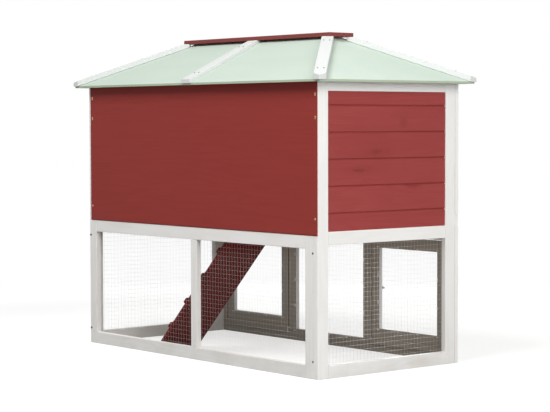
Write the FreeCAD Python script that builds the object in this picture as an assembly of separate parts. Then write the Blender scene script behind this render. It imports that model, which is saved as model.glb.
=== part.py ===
import FreeCAD, Part
import math
import os

# A two-storey pet hutch: a boarded house with a hipped roof over an open wire run.
# Millimetres, +Z up. The origin is on the ground under the middle of the hutch.
# The doors and the tray face -Y, left is -X. LEFT and RIGHT are the signs of X.

LEFT = -1
RIGHT = 1
FRONT = -1
BACK = 1

# Body
BODY_LENGTH = 1068.0
BODY_DEPTH = 523.0
FLOOR_LEVEL = 389.0
EAVE_LEVEL = 783.5
END_THICK = 16.0
FRONT_THICK = 13.0
BACK_FRAME_THICK = 16.0
BACK_PANEL_THICK = 2.5
BACK_PANEL_FOOT = 3.5
BACK_PANEL_FOOT_EDGE = 0.5
BACK_PANEL_INSET_LEFT = 0.0
BACK_PANEL_INSET_RIGHT = 11.0
POST_WIDTH = 37.0
STILE_WIDTH = 35.0
BACK_STILE_WIDTH = 27.5
BACK_STILE_SHIFT = 5.75
RAIL_HEIGHT = 35.0
TOP_RAIL_DROP = 23.5
MIDDLE_BAY = 307.0

# Boarding
BOARD_THICK = 10.0
BOARD_RECESS = 3.0
BOARD_PITCH = 71.5
FIRST_BOARD = 47.0
SMALLEST_BOARD = 15.0
BOARD_CHAMFER = 1.8
TONGUE_THICK = 3.0
TONGUE_HEIGHT = 4.0
TONGUE_CLEARANCE = 0.2

# Wire mesh
NET_PITCH = 25.4
NET_WIRE = 1.2
NET_LAP = 8.0

# Doors, hinges and bolts
DOOR_GAP = 2.5
DOOR_MEMBER = 33.0
HINGE_LENGTH = 40.0
HINGE_INSET = 55.0
LEAF_WIDTH = 16.0
LEAF_THICK = 1.2
KNUCKLE_RADIUS = 3.0
KNUCKLE_CLEARANCE = 0.3
KNUCKLE_END_CLEARANCE = 0.2
PIN_RADIUS = 1.5
PIN_CLEARANCE = 0.05
PIN_HEAD_RADIUS = 2.4
PIN_HEAD_HEIGHT = 1.0
BOLT_PLATE_LENGTH = 24.0
BOLT_PLATE_HEIGHT = 20.0
BOLT_PLATE_THICK = 1.2
BOLT_PLATE_INSET = 0.5
BOLT_GUIDE_LENGTH = 4.0
BOLT_GUIDE_HEIGHT = 10.0
BOLT_GUIDE_DEPTH = 9.0
BOLT_RADIUS = 2.75
BOLT_CLEARANCE = 0.08
BOLT_TAIL = 10.0
BOLT_KNOB_RADIUS = 2.5
BOLT_KNOB_LENGTH = 12.0
BOLT_KNOB_GAP = 1.0
KEEPER_GAP = 2.0
KEEPER_CLEARANCE = 0.4
KEEPER_LENGTH = 6.0
KEEPER_FLANGE = 4.0

# Upper floor and its bearers
FLOOR_THICK = 10.0
BEARER_WIDTH = 20.0
BEARER_HEIGHT = 25.0
END_LEDGER_HEIGHT = 16.0

# Pull-out tray
TRAY_FRONT_HEIGHT = 30.0
TRAY_GAP = 1.0
TRAY_END_INSET = 1.0
PAN_HEIGHT = 20.0
PAN_THICK = 1.2
PAN_SIDE_CLEARANCE = 3.0
PAN_BACK_CLEARANCE = 6.0
PAN_NOTCH_MARGIN = 8.0
KNOB_SPREAD = 250.0
KNOB_NECK_RADIUS = 6.0
KNOB_RADIUS = 10.0
KNOB_STANDOFF = 13.0

# Ramp
RAMP_ANGLE = 45.0
RAMP_WIDTH = 152.0
RAMP_THICK = 10.0
RAMP_WALL_GAP = 20.5
RAMP_PIVOT_DROP = 2.0
RAMP_HINGE_SPREAD = 50.0
RAMP_GROUND_GAP = 1.0
RAMP_HEAD_X = -150.0
HOLE_LENGTH = 190.0
HOLE_MARGIN = 8.0
CLEAT_FIRST = 106.0
CLEAT_PITCH = 109.5
CLEAT_WIDTH = 18.0
CLEAT_HEIGHT = 8.0
CLEAT_END_MARGIN = 40.0

# Partition between the day room and the nest room
PARTITION_THICK = 9.0
PARTITION_PAN_GAP = 5.0
POP_HOLE_WIDTH = 150.0
POP_HOLE_SIDE = 110.0
POP_HOLE_FRONT_MARGIN = 35.0

# Roof
ROOF_PITCH = 25.4
EAVE_OVERHANG_END = 37.0
EAVE_OVERHANG_SIDE = 26.0
SHEET_THICK = 6.0
SEAM_BATTEN_WIDTH = 40.0
HIP_BATTEN_WIDTH = 33.0
HIP_BATTEN_GROOVE = 4.5
BATTEN_THICK = 11.0
BATTEN_OVERHANG = 4.0
BATTEN_TUCK = 14.0
CAP_LENGTH = 672.0
CAP_WIDTH = 90.0
CAP_THICK = 11.5
PLATE_WIDTH = 20.0
PLATE_DEPTH = 17.0
RAFTER_WIDTH = 30.0
HIP_RAFTER_WIDTH = 20.0
RAFTER_DEPTH = 30.0
RIDGE_BEAM_WIDTH = 46.5
RIDGE_BEAM_DEPTH = 40.0

# Fasteners
SCREW_RADIUS = 3.0
SCREW_HEIGHT = 0.8
NAIL_RADIUS = 2.2
NAIL_HEIGHT = 0.7
NAIL_TOP_MARGIN = 60.0
NAIL_EAVE_MARGIN = 44.0
CAP_NAIL_MARGIN = 25.0
FRAME_SCREW_EDGE_LEFT = 4.0
FRAME_SCREW_EDGE_RIGHT = 6.0
SCREW_RAIL_MARGIN = 11.0
PANEL_SCREW_EDGE_LEFT = 7.0
PANEL_SCREW_EDGE_RIGHT = 10.0
PANEL_SCREW_LOW = 35.0
PANEL_SCREW_HIGH = 31.5
PANEL_SCREW_STEP = 62.0

# Places that follow from the sizes above
HALF_LENGTH = BODY_LENGTH / 2
END_INNER = HALF_LENGTH - END_THICK
FRONT_FACE = -BODY_DEPTH / 2
FRONT_INNER = FRONT_FACE + FRONT_THICK
BACK_FACE = BODY_DEPTH / 2
BACK_INNER = BACK_FACE - BACK_FRAME_THICK
FLOOR_BOTTOM = FLOOR_LEVEL - FLOOR_THICK
LOWER_HEAD = FLOOR_BOTTOM - RAIL_HEIGHT
TOP_RAIL = EAVE_LEVEL - TOP_RAIL_DROP
UPPER_BASE = FLOOR_LEVEL + TRAY_FRONT_HEIGHT + 2 * TRAY_GAP
UPPER_SILL = UPPER_BASE + RAIL_HEIGHT
MIDDLE_STILE = MIDDLE_BAY / 2
BAY_START = MIDDLE_STILE + STILE_WIDTH
BAY_END = HALF_LENGTH - STILE_WIDTH
DOOR_START = BAY_START + DOOR_GAP
DOOR_END = BAY_END - DOOR_GAP
KNUCKLE_OFFSET = KNUCKLE_RADIUS + KNUCKLE_CLEARANCE
HOLE_START = RAMP_HEAD_X
HOLE_END = RAMP_HEAD_X + HOLE_LENGTH
RAMP_BACK = BACK_INNER - RAMP_WALL_GAP
RAMP_FRONT = RAMP_BACK - RAMP_WIDTH
HOLE_FRONT = RAMP_FRONT - HOLE_MARGIN
PARTITION_X = MIDDLE_STILE + STILE_WIDTH / 2
SLOPE = math.tan(math.radians(ROOF_PITCH))
EAVE_X = HALF_LENGTH + EAVE_OVERHANG_END
EAVE_Y = BODY_DEPTH / 2 + EAVE_OVERHANG_SIDE
RIDGE_X = EAVE_X - EAVE_Y
RISE = EAVE_Y * SLOPE
SHEET_RISE = SHEET_THICK / math.cos(math.radians(ROOF_PITCH))
BATTEN_RISE = BATTEN_THICK / math.cos(math.radians(ROOF_PITCH))
EAVE_TOP = EAVE_LEVEL + SHEET_RISE
RIDGE_TOP = EAVE_TOP + RISE
SEAT_Y = RIDGE_BEAM_WIDTH / 2
SEAT_X = RIDGE_X + SEAT_Y
CAP_SEAT = RIDGE_TOP - SEAT_Y * SLOPE
CAP_TOP = CAP_SEAT + CAP_THICK
ABOVE_ROOF = RIDGE_TOP + CAP_THICK
PANEL_LEFT = BACK_PANEL_INSET_LEFT - HALF_LENGTH
PANEL_RIGHT = HALF_LENGTH - BACK_PANEL_INSET_RIGHT
BACK_BAYS_START = STILE_WIDTH - END_INNER
BACK_BAYS_END = HALF_LENGTH - STILE_WIDTH


def vector(x, y, z):
    return FreeCAD.Vector(x, y, z)


def box(xs, ys, zs):
    """A box between pairs of bounds, each pair in either order."""
    low = vector(min(xs), min(ys), min(zs))
    high = vector(max(xs), max(ys), max(zs))
    size = high - low
    return Part.makeBox(size.x, size.y, size.z, low)


def on_side(side, near, far):
    """The bounds along X of something between two distances from the middle."""
    return (side * near, side * far)


def prism(points, direction):
    """A flat outline of points, carried along a direction."""
    outline = Part.makePolygon(list(points) + [points[0]])
    return Part.Face(outline).extrude(direction)


def place(shape, origin, along, outward):
    """Turn a shape drawn with X along and Y outward to its place."""
    axis = along.cross(outward)
    matrix = FreeCAD.Matrix(
        along.x, outward.x, axis.x, origin.x,
        along.y, outward.y, axis.y, origin.y,
        along.z, outward.z, axis.z, origin.z,
        0, 0, 0, 1)
    placed = shape.copy()
    placed.Placement = FreeCAD.Placement(matrix)
    return placed


def fuse(shapes):
    return shapes[0].multiFuse(shapes[1:]).removeSplitter()


def export(node, solids):
    """Write the solids of one node, each one kept apart."""
    shape = solids[0] if len(solids) == 1 else Part.makeCompound(solids)
    shape.exportStep("parts/" + node + ".step")


# Roof surfaces

def roof_mass(lift, spread):
    """All that lies under the hipped surface a lift above the sheets' underside.

    The spread carries the slopes on past the eaves.
    """
    foot = EAVE_LEVEL + lift - spread * SLOPE
    top = EAVE_LEVEL + lift + RISE
    half_x = EAVE_X + spread
    half_y = EAVE_Y + spread
    gable = prism(
        [vector(-half_x, -half_y, 0), vector(-half_x, half_y, 0), vector(-half_x, half_y, foot),
         vector(-half_x, 0, top), vector(-half_x, -half_y, foot)],
        vector(2 * half_x, 0, 0))
    hip = prism(
        [vector(-half_x, -half_y, 0), vector(half_x, -half_y, 0), vector(half_x, -half_y, foot),
         vector(RIDGE_X, -half_y, top), vector(-RIDGE_X, -half_y, top), vector(-half_x, -half_y, foot)],
        vector(0, 2 * half_y, 0))
    return gable.common(hip)


UNDER_ROOF = roof_mass(0, 0)


def under_roof(shape):
    """Trim what stands too tall to the underside of the roof sheets."""
    trimmed = shape.common(UNDER_ROOF)
    return trimmed.Solids[0]


# End frames, boards and nets

def end_frame(side):
    """Posts and rails. The back frame laps over the right back post, and stands beside the left one."""
    across = on_side(side, END_INNER, HALF_LENGTH)
    front_post = (FRONT_INNER, FRONT_INNER + POST_WIDTH)
    back_post = (BACK_FACE - POST_WIDTH, BACK_FACE)
    between = (front_post[1], back_post[0])
    tall_post = under_roof(box(across, back_post, (0, ABOVE_ROOF)))
    if side == RIGHT:
        tall_post = tall_post.cut(box(across, (BACK_INNER, BACK_FACE), (0, FLOOR_BOTTOM))).Solids[0]
    return [
        under_roof(box(across, front_post, (0, ABOVE_ROOF))),
        tall_post,
        box(across, between, (0, RAIL_HEIGHT)),
        box(across, between, (FLOOR_LEVEL - RAIL_HEIGHT, FLOOR_LEVEL)),
        under_roof(box(across, between, (TOP_RAIL, ABOVE_ROOF)))]


def board_joints(bottom, top):
    """Heights of the joints between the boards of one panel."""
    joints = []
    height = bottom + FIRST_BOARD
    while height < top - SMALLEST_BOARD:
        joints.append(height)
        height += BOARD_PITCH
    return joints


def board_outline(bottom, top, has_groove, has_tongue):
    """Depth behind the outer face and height, round one board's end."""
    tongue_start = (BOARD_THICK - TONGUE_THICK) / 2
    tongue_end = tongue_start + TONGUE_THICK
    groove_start = tongue_start - TONGUE_CLEARANCE
    groove_end = tongue_end + TONGUE_CLEARANCE
    groove_depth = TONGUE_HEIGHT + TONGUE_CLEARANCE
    points = [(BOARD_THICK, bottom)]
    if has_groove:
        points += [(groove_end, bottom), (groove_end, bottom + groove_depth),
                   (groove_start, bottom + groove_depth), (groove_start, bottom),
                   (BOARD_CHAMFER, bottom), (0, bottom + BOARD_CHAMFER)]
    else:
        points += [(0, bottom)]
    if has_tongue:
        points += [(0, top - BOARD_CHAMFER), (BOARD_CHAMFER, top), (tongue_start, top),
                   (tongue_start, top + TONGUE_HEIGHT), (tongue_end, top + TONGUE_HEIGHT), (tongue_end, top)]
    else:
        points += [(0, top)]
    points += [(BOARD_THICK, top)]
    return points


def boarding(bottom, top, place_point, length):
    """Boards laid one on another, each outline carried along a length."""
    edges = [bottom] + board_joints(bottom, top) + [top]
    boards = []
    for low, high in zip(edges, edges[1:]):
        outline = board_outline(low, high, low > bottom, high < top)
        boards.append(prism([place_point(depth, height) for depth, height in outline], length))
    return boards


def end_boards(side):
    start = FRONT_INNER + POST_WIDTH
    length = BACK_FACE - POST_WIDTH - start

    def place_point(depth, height):
        return vector(side * (HALF_LENGTH - BOARD_RECESS - depth), start, height)

    return boarding(FLOOR_LEVEL, TOP_RAIL, place_point, vector(0, length, 0))


def net(corner, across, up, through, width, height):
    """Welded mesh: upright wires against the frame, level wires behind them."""

    def wire(start_u, start_v, end_u, end_v, layer):
        start = corner + through * (layer * NET_WIRE)
        ring = [(start_u, start_v), (end_u, start_v), (end_u, end_v), (start_u, end_v)]
        return prism([start + across * u + up * v for u, v in ring], through * NET_WIRE)

    columns = max(1, round((width - NET_WIRE) / NET_PITCH))
    rows = max(1, round((height - NET_WIRE) / NET_PITCH))
    wires = []
    for column in range(columns + 1):
        u = column * (width - NET_WIRE) / columns
        wires.append(wire(u, 0, u + NET_WIRE, height, 0))
    for row in range(rows + 1):
        v = row * (height - NET_WIRE) / rows
        wires.append(wire(0, v, width, v + NET_WIRE, 1))
    return wires


def lengthwise_net(xs, y, inward, zs):
    """A net along X on the inner face of a frame at y, lapping its members."""
    low = min(xs) - NET_LAP
    corner = vector(low, y, zs[0] - NET_LAP)
    width = max(xs) + NET_LAP - low
    height = zs[1] - zs[0] + 2 * NET_LAP
    return net(corner, vector(1, 0, 0), vector(0, 0, 1), vector(0, inward, 0), width, height)


def end_net(side):
    start = FRONT_INNER + POST_WIDTH - NET_LAP
    end = BACK_FACE - POST_WIDTH + NET_LAP
    bottom = RAIL_HEIGHT - NET_LAP
    top = FLOOR_LEVEL - RAIL_HEIGHT + NET_LAP
    corner = vector(side * END_INNER, start, bottom)
    return net(corner, vector(0, 1, 0), vector(0, 0, 1), vector(-side, 0, 0), end - start, top - bottom)


# Back

def back_panel():
    """A thin sheet on the posts, bevelled along its foot to shed water."""
    outer = BACK_FACE + BACK_PANEL_THICK
    outline = [(BACK_FACE, FLOOR_BOTTOM), (BACK_FACE + BACK_PANEL_FOOT_EDGE, FLOOR_BOTTOM),
               (outer, FLOOR_BOTTOM + BACK_PANEL_FOOT), (outer, ABOVE_ROOF), (BACK_FACE, ABOVE_ROOF)]
    sheet = prism([vector(PANEL_LEFT, y, z) for y, z in outline], vector(PANEL_RIGHT - PANEL_LEFT, 0, 0))
    return under_roof(sheet)


def back_stile():
    """The bounds along X of the bar between the two back bays."""
    return (BACK_STILE_SHIFT - BACK_STILE_WIDTH / 2, BACK_STILE_SHIFT + BACK_STILE_WIDTH / 2)


def back_frame():
    """Stiles, a sill and a head rail."""
    depth = (BACK_INNER, BACK_FACE)
    bays = (BACK_BAYS_START, BACK_BAYS_END)
    bars = [box(xs, depth, (0, FLOOR_BOTTOM)) for xs in ((-END_INNER, bays[0]), (bays[1], HALF_LENGTH))]
    bars.append(box(back_stile(), depth, (RAIL_HEIGHT, LOWER_HEAD)))
    bars += [box(bays, depth, zs) for zs in ((0, RAIL_HEIGHT), (LOWER_HEAD, FLOOR_BOTTOM))]
    return bars


def back_nets():
    start, end = back_stile()
    wires = []
    for xs in ((BACK_BAYS_START, start), (end, BACK_BAYS_END)):
        wires += lengthwise_net(xs, BACK_INNER, -1, (RAIL_HEIGHT, LOWER_HEAD))
    return wires


# Front frames and doors

def front_frame(base, sill, head, top):
    """Outer stiles, rails and two inner stiles, from base to top."""
    depth = (FRONT_FACE, FRONT_INNER)
    bars = []
    for side in (LEFT, RIGHT):
        bars.append(box(on_side(side, BAY_END, HALF_LENGTH), depth, (base, top)))
        bars.append(box(on_side(side, MIDDLE_STILE, BAY_START), depth, (sill, head)))
    bars.append(box((-BAY_END, BAY_END), depth, (base, sill)))
    bars.append(box((-BAY_END, BAY_END), depth, (head, top)))
    return bars


def door_window(sill, head):
    """Height range of the gap inside a door's frame."""
    return (sill + DOOR_GAP + DOOR_MEMBER, head - DOOR_GAP - DOOR_MEMBER)


def door_frame(side, sill, head):
    depth = (FRONT_FACE, FRONT_INNER)
    whole = (sill + DOOR_GAP, head - DOOR_GAP)
    window = door_window(sill, head)
    inner = (DOOR_START + DOOR_MEMBER, DOOR_END - DOOR_MEMBER)
    return [
        box(on_side(side, DOOR_START, inner[0]), depth, whole),
        box(on_side(side, inner[1], DOOR_END), depth, whole),
        box(on_side(side, *inner), depth, (whole[0], window[0])),
        box(on_side(side, *inner), depth, (window[1], whole[1]))]


def door_net(side, sill, head):
    xs = on_side(side, DOOR_START + DOOR_MEMBER, DOOR_END - DOOR_MEMBER)
    return lengthwise_net(xs, FRONT_INNER, 1, door_window(sill, head))


def door_boards(side, sill, head):
    xs = on_side(side, DOOR_START + DOOR_MEMBER, DOOR_END - DOOR_MEMBER)
    bottom, top = door_window(sill, head)

    def place_point(depth, height):
        return vector(min(xs), FRONT_FACE + BOARD_RECESS + depth, height)

    return boarding(bottom, top, place_point, vector(max(xs) - min(xs), 0, 0))


# Hinges

def hinge_leaf(origin, along, outward, is_moving):
    """One leaf with its knuckles. The wood lies behind the leaf, the pin runs through the origin."""
    third = HINGE_LENGTH / 3
    if is_moving:
        knuckles = [(-third / 2 + KNUCKLE_END_CLEARANCE, third / 2 - KNUCKLE_END_CLEARANCE)]
    else:
        knuckles = [(-HINGE_LENGTH / 2, -third / 2), (third / 2, HINGE_LENGTH / 2)]
    depth = (-KNUCKLE_OFFSET, -KNUCKLE_OFFSET + LEAF_THICK)
    pieces = [box((KNUCKLE_OFFSET, LEAF_WIDTH), depth, (-HINGE_LENGTH / 2, HINGE_LENGTH / 2))]
    for low, high in knuckles:
        pieces.append(box((0, KNUCKLE_OFFSET), depth, (low, high)))
        pieces.append(Part.makeCylinder(KNUCKLE_RADIUS, high - low, vector(0, 0, low)))
    bore = Part.makeCylinder(PIN_RADIUS + PIN_CLEARANCE, 2 * HINGE_LENGTH, vector(0, 0, -HINGE_LENGTH))
    return place(fuse(pieces).cut(bore), origin, along, outward)


def hinge_pin(origin, axis):
    """A pin with a flat head at each end."""
    reach = HINGE_LENGTH / 2
    shank = Part.makeCylinder(PIN_RADIUS, HINGE_LENGTH, origin - axis * reach, axis)
    heads = [Part.makeCylinder(PIN_HEAD_RADIUS, PIN_HEAD_HEIGHT, origin + way * reach, way) for way in (axis, -axis)]
    return fuse([shank] + heads)


def door_hinge_origins(side, sill, head):
    x = side * (BAY_END - DOOR_GAP / 2)
    y = FRONT_FACE - KNUCKLE_OFFSET
    return [vector(x, y, z) for z in (sill + DOOR_GAP + HINGE_INSET, head - DOOR_GAP - HINGE_INSET)]


def door_leaves(side, sill, head, is_moving):
    along = vector(-side if is_moving else side, 0, 0)
    return [hinge_leaf(origin, along, vector(0, -1, 0), is_moving)
            for origin in door_hinge_origins(side, sill, head)]


def ramp_hinge_origins():
    x = HOLE_START + KNUCKLE_OFFSET
    middle = (RAMP_FRONT + RAMP_BACK) / 2
    height = FLOOR_BOTTOM - RAMP_PIVOT_DROP
    return [vector(x, middle + way * RAMP_HINGE_SPREAD, height) for way in (-1, 1)]


def ramp_directions():
    """Down the ramp, and square out of its top face."""
    angle = math.radians(RAMP_ANGLE)
    return vector(math.cos(angle), 0, -math.sin(angle)), vector(math.sin(angle), 0, math.cos(angle))


def ramp_leaves(is_moving):
    down, out = ramp_directions()
    along = down if is_moving else vector(0, 0, -1)
    outward = -out if is_moving else vector(1, 0, 0)
    return [hinge_leaf(origin, along, outward, is_moving) for origin in ramp_hinge_origins()]


# Barrel bolts

def bolt_axis_depth():
    return BOLT_PLATE_THICK + BOLT_GUIDE_DEPTH / 2


def rod_along(radius, start, end):
    """A round bar on the bolt's own line."""
    return Part.makeCylinder(radius, end - start, vector(start, bolt_axis_depth(), 0), vector(1, 0, 0))


def bolt_base():
    depth = (BOLT_PLATE_THICK, BOLT_PLATE_THICK + BOLT_GUIDE_DEPTH)
    plate_height = (-BOLT_PLATE_HEIGHT / 2, BOLT_PLATE_HEIGHT / 2)
    guide_height = (-BOLT_GUIDE_HEIGHT / 2, BOLT_GUIDE_HEIGHT / 2)
    pieces = [
        box((0, BOLT_PLATE_LENGTH), (0, BOLT_PLATE_THICK), plate_height),
        box((0, BOLT_GUIDE_LENGTH), depth, guide_height),
        box((BOLT_PLATE_LENGTH - BOLT_GUIDE_LENGTH, BOLT_PLATE_LENGTH), depth, guide_height)]
    return fuse(pieces).cut(rod_along(BOLT_RADIUS + BOLT_CLEARANCE, 0, BOLT_PLATE_LENGTH))


def bolt_rod():
    knob_at = vector(BOLT_GUIDE_LENGTH + BOLT_KNOB_GAP + BOLT_KNOB_RADIUS, bolt_axis_depth(), 0)
    knob = Part.makeCylinder(BOLT_KNOB_RADIUS, BOLT_KNOB_LENGTH, knob_at, vector(0, 1, 0))
    return fuse([rod_along(BOLT_RADIUS, -BOLT_TAIL, BOLT_PLATE_LENGTH), knob])


def bolt_keeper():
    start = BOLT_PLATE_LENGTH + BOLT_PLATE_INSET + DOOR_GAP + KEEPER_GAP
    end = start + KEEPER_LENGTH
    plate_height = (-BOLT_PLATE_HEIGHT / 2, BOLT_PLATE_HEIGHT / 2)
    guide_height = (-BOLT_GUIDE_HEIGHT / 2, BOLT_GUIDE_HEIGHT / 2)
    pieces = [
        box((start, end + KEEPER_FLANGE), (0, BOLT_PLATE_THICK), plate_height),
        box((start, end), (BOLT_PLATE_THICK, BOLT_PLATE_THICK + BOLT_GUIDE_DEPTH), guide_height)]
    return fuse(pieces).cut(rod_along(BOLT_RADIUS + KEEPER_CLEARANCE, start, end))


def on_door(shape, side, sill, head):
    """Move a bolt's piece to the free edge of a door, at half its height."""
    x = side * (DOOR_START + BOLT_PLATE_INSET + BOLT_PLATE_LENGTH)
    origin = vector(x, FRONT_FACE, (sill + head) / 2)
    return place(shape, origin, vector(-side, 0, 0), vector(0, -1, 0))


# Upper floor, tray, partition and ramp

def upper_floor():
    sheet = box((-END_INNER, END_INNER), (FRONT_INNER, BACK_FACE), (FLOOR_BOTTOM, FLOOR_LEVEL))
    return sheet.cut(box((HOLE_START, HOLE_END), (HOLE_FRONT, BACK_INNER), (FLOOR_BOTTOM, FLOOR_LEVEL)))


def floor_bearers():
    depth = (FLOOR_BOTTOM - BEARER_HEIGHT, FLOOR_BOTTOM)
    ledger_depth = (FLOOR_BOTTOM - END_LEDGER_HEIGHT, FLOOR_BOTTOM)
    ledger_back = FRONT_INNER + BEARER_WIDTH
    bearer_starts = (HOLE_START - BEARER_WIDTH, PARTITION_X - BEARER_WIDTH / 2)
    bars = [box((-END_INNER, END_INNER), (FRONT_INNER, ledger_back), depth)]
    bars += [box(on_side(side, END_INNER - BEARER_WIDTH, END_INNER), (ledger_back, BACK_INNER), ledger_depth)
             for side in (LEFT, RIGHT)]
    bars += [box((x, x + BEARER_WIDTH), (ledger_back, BACK_INNER), depth) for x in bearer_starts]
    bars.append(box((HOLE_START, bearer_starts[1]), (HOLE_FRONT - BEARER_WIDTH, HOLE_FRONT), depth))
    return bars


def pan_outline(inset, height):
    """The tray's plan, open at the back round the ramp hole."""
    half = END_INNER - PAN_SIDE_CLEARANCE - inset
    front = FRONT_INNER + inset
    back = BACK_FACE - PAN_BACK_CLEARANCE - inset
    notch_start = HOLE_START - PAN_NOTCH_MARGIN - inset
    notch_end = HOLE_END + PAN_NOTCH_MARGIN + inset
    notch_front = HOLE_FRONT - PAN_NOTCH_MARGIN - inset
    plan = [(-half, front), (half, front), (half, back), (notch_end, back), (notch_end, notch_front),
            (notch_start, notch_front), (notch_start, back), (-half, back)]
    return [vector(x, y, height) for x, y in plan]


def tray_pan():
    whole = prism(pan_outline(0, FLOOR_LEVEL), vector(0, 0, PAN_HEIGHT))
    hollow = prism(pan_outline(PAN_THICK, FLOOR_LEVEL + PAN_THICK), vector(0, 0, PAN_HEIGHT))
    return whole.cut(hollow)


def tray_front():
    half = HALF_LENGTH - TRAY_END_INSET
    bottom = FLOOR_LEVEL + TRAY_GAP
    return box((-half, half), (FRONT_FACE, FRONT_INNER), (bottom, bottom + TRAY_FRONT_HEIGHT))


def tray_knobs():
    height = FLOOR_LEVEL + TRAY_GAP + TRAY_FRONT_HEIGHT / 2
    knobs = []
    for side in (LEFT, RIGHT):
        foot = vector(side * KNOB_SPREAD, FRONT_FACE, height)
        neck = Part.makeCylinder(KNOB_NECK_RADIUS, KNOB_STANDOFF, foot, vector(0, -1, 0))
        ball = Part.makeSphere(KNOB_RADIUS, foot - vector(0, KNOB_STANDOFF, 0))
        knobs.append(fuse([neck, ball]))
    return knobs


def partition():
    bottom = FLOOR_LEVEL + PAN_HEIGHT + PARTITION_PAN_GAP
    across = (PARTITION_X - PARTITION_THICK / 2, PARTITION_X + PARTITION_THICK / 2)
    panel = box(across, (FRONT_INNER, BACK_FACE), (bottom, TOP_RAIL))
    hole_front = FRONT_INNER + POP_HOLE_FRONT_MARGIN
    arch_height = bottom + POP_HOLE_SIDE
    arch_radius = POP_HOLE_WIDTH / 2
    gap = box(across, (hole_front, hole_front + POP_HOLE_WIDTH), (bottom, arch_height))
    arch_centre = vector(across[0], hole_front + arch_radius, arch_height)
    arch = Part.makeCylinder(arch_radius, PARTITION_THICK, arch_centre, vector(1, 0, 0))
    return panel.cut(fuse([gap, arch]))


def ramp_head():
    """The end of the ramp's underside, square to the pivot."""
    pivot = ramp_hinge_origins()[0]
    return vector(pivot.x, RAMP_FRONT, pivot.z) + ramp_directions()[1] * KNUCKLE_OFFSET


def ramp_length():
    """Length of the ramp's underside, down to the ground."""
    return (ramp_head().z - RAMP_GROUND_GAP) / math.sin(math.radians(RAMP_ANGLE))


def ramp_board():
    down, out = ramp_directions()
    head = ramp_head()
    heel = head + down * ramp_length()
    toe = heel + vector(RAMP_THICK / math.sin(math.radians(RAMP_ANGLE)), 0, 0)
    return prism([head, heel, toe, head + out * RAMP_THICK], vector(0, RAMP_WIDTH, 0))


def ramp_cleats():
    down, out = ramp_directions()
    top = ramp_head() + out * RAMP_THICK
    cleats = []
    distance = CLEAT_FIRST
    while distance < ramp_length() - CLEAT_END_MARGIN:
        start = top + down * (distance - CLEAT_WIDTH / 2)
        end = top + down * (distance + CLEAT_WIDTH / 2)
        lift = out * CLEAT_HEIGHT
        cleats.append(prism([start, end, end + lift, start + lift], vector(0, RAMP_WIDTH, 0)))
        distance += CLEAT_PITCH
    return cleats


# Roof

def slope_sheet(side, way):
    """One half of the front or back slope, cut off at the ridge beam."""
    points = [vector(side * EAVE_X, way * EAVE_Y, EAVE_TOP), vector(0, way * EAVE_Y, EAVE_TOP),
              vector(0, way * SEAT_Y, CAP_SEAT), vector(side * SEAT_X, way * SEAT_Y, CAP_SEAT)]
    return prism(points, vector(0, 0, -SHEET_RISE))


def end_sheet(side):
    points = [vector(side * EAVE_X, -EAVE_Y, EAVE_TOP), vector(side * EAVE_X, EAVE_Y, EAVE_TOP),
              vector(side * SEAT_X, SEAT_Y, CAP_SEAT), vector(side * SEAT_X, -SEAT_Y, CAP_SEAT)]
    return prism(points, vector(0, 0, -SHEET_RISE))


def batten_start():
    """How far from the middle line a batten starts, tucked in under the cap."""
    return SEAT_Y + BATTEN_RISE / SLOPE - BATTEN_TUCK


def below_cap(batten):
    """Cut a batten level with the cap's underside."""
    room = box((-EAVE_X, EAVE_X), (-EAVE_Y, EAVE_Y), (CAP_SEAT, 2 * CAP_SEAT))
    return batten.cut(room).Solids[0]


def hip_batten_top(side, way):
    """The flat top of a hip batten: square at the ridge, pointed at the eave."""
    half = HIP_BATTEN_WIDTH / 2 / math.sqrt(2)
    start = batten_start()
    end_x = EAVE_X + BATTEN_OVERHANG
    end_y = EAVE_Y + BATTEN_OVERHANG
    plan = [(RIDGE_X + start - half, start + half), (end_x - 2 * half, end_y), (end_x, end_y),
            (end_x, end_y - 2 * half), (RIDGE_X + start + half, start - half)]
    return [vector(side * x, way * y, RIDGE_TOP + BATTEN_RISE - SLOPE * (x - RIDGE_X + y) / 2) for x, y in plan]


def hip_battens():
    """Flat laths, grooved along the edge where two slopes meet."""
    roof = roof_mass(SHEET_RISE, HIP_BATTEN_WIDTH)
    battens = []
    for side in (LEFT, RIGHT):
        for way in (FRONT, BACK):
            block = prism(hip_batten_top(side, way), vector(0, 0, -BATTEN_RISE - HIP_BATTEN_GROOVE))
            battens.append(below_cap(block.cut(roof)))
    return battens


def seam_batten_top(way):
    half = SEAM_BATTEN_WIDTH / 2
    start = batten_start()
    end = EAVE_Y + BATTEN_OVERHANG
    plan = [(-half, start), (-half, end), (half, end), (half, start)]
    return [vector(x, way * y, RIDGE_TOP + BATTEN_RISE - SLOPE * y) for x, y in plan]


def seam_battens():
    return [below_cap(prism(seam_batten_top(way), vector(0, 0, -BATTEN_RISE))) for way in (FRONT, BACK)]


def ridge_cap():
    """One flat plank on the ridge beam and the top edges of the sheets."""
    return box((-CAP_LENGTH / 2, CAP_LENGTH / 2), (-CAP_WIDTH / 2, CAP_WIDTH / 2), (CAP_SEAT, CAP_TOP))


def roof_plates():
    """A ring of bars inside the top of the walls, bevelled under the sheets."""
    heights = (EAVE_LEVEL - PLATE_DEPTH / 2, ABOVE_ROOF)
    inner_front = FRONT_INNER + PLATE_WIDTH
    inner_back = BACK_FACE - PLATE_WIDTH
    bars = [
        box((-END_INNER, END_INNER), (FRONT_INNER, inner_front), heights),
        box((-END_INNER, END_INNER), (inner_back, BACK_FACE), heights)]
    bars += [box(on_side(side, END_INNER - PLATE_WIDTH, END_INNER), (inner_front, inner_back), heights)
             for side in (LEFT, RIGHT)]
    return [under_roof(bar) for bar in bars]


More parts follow.
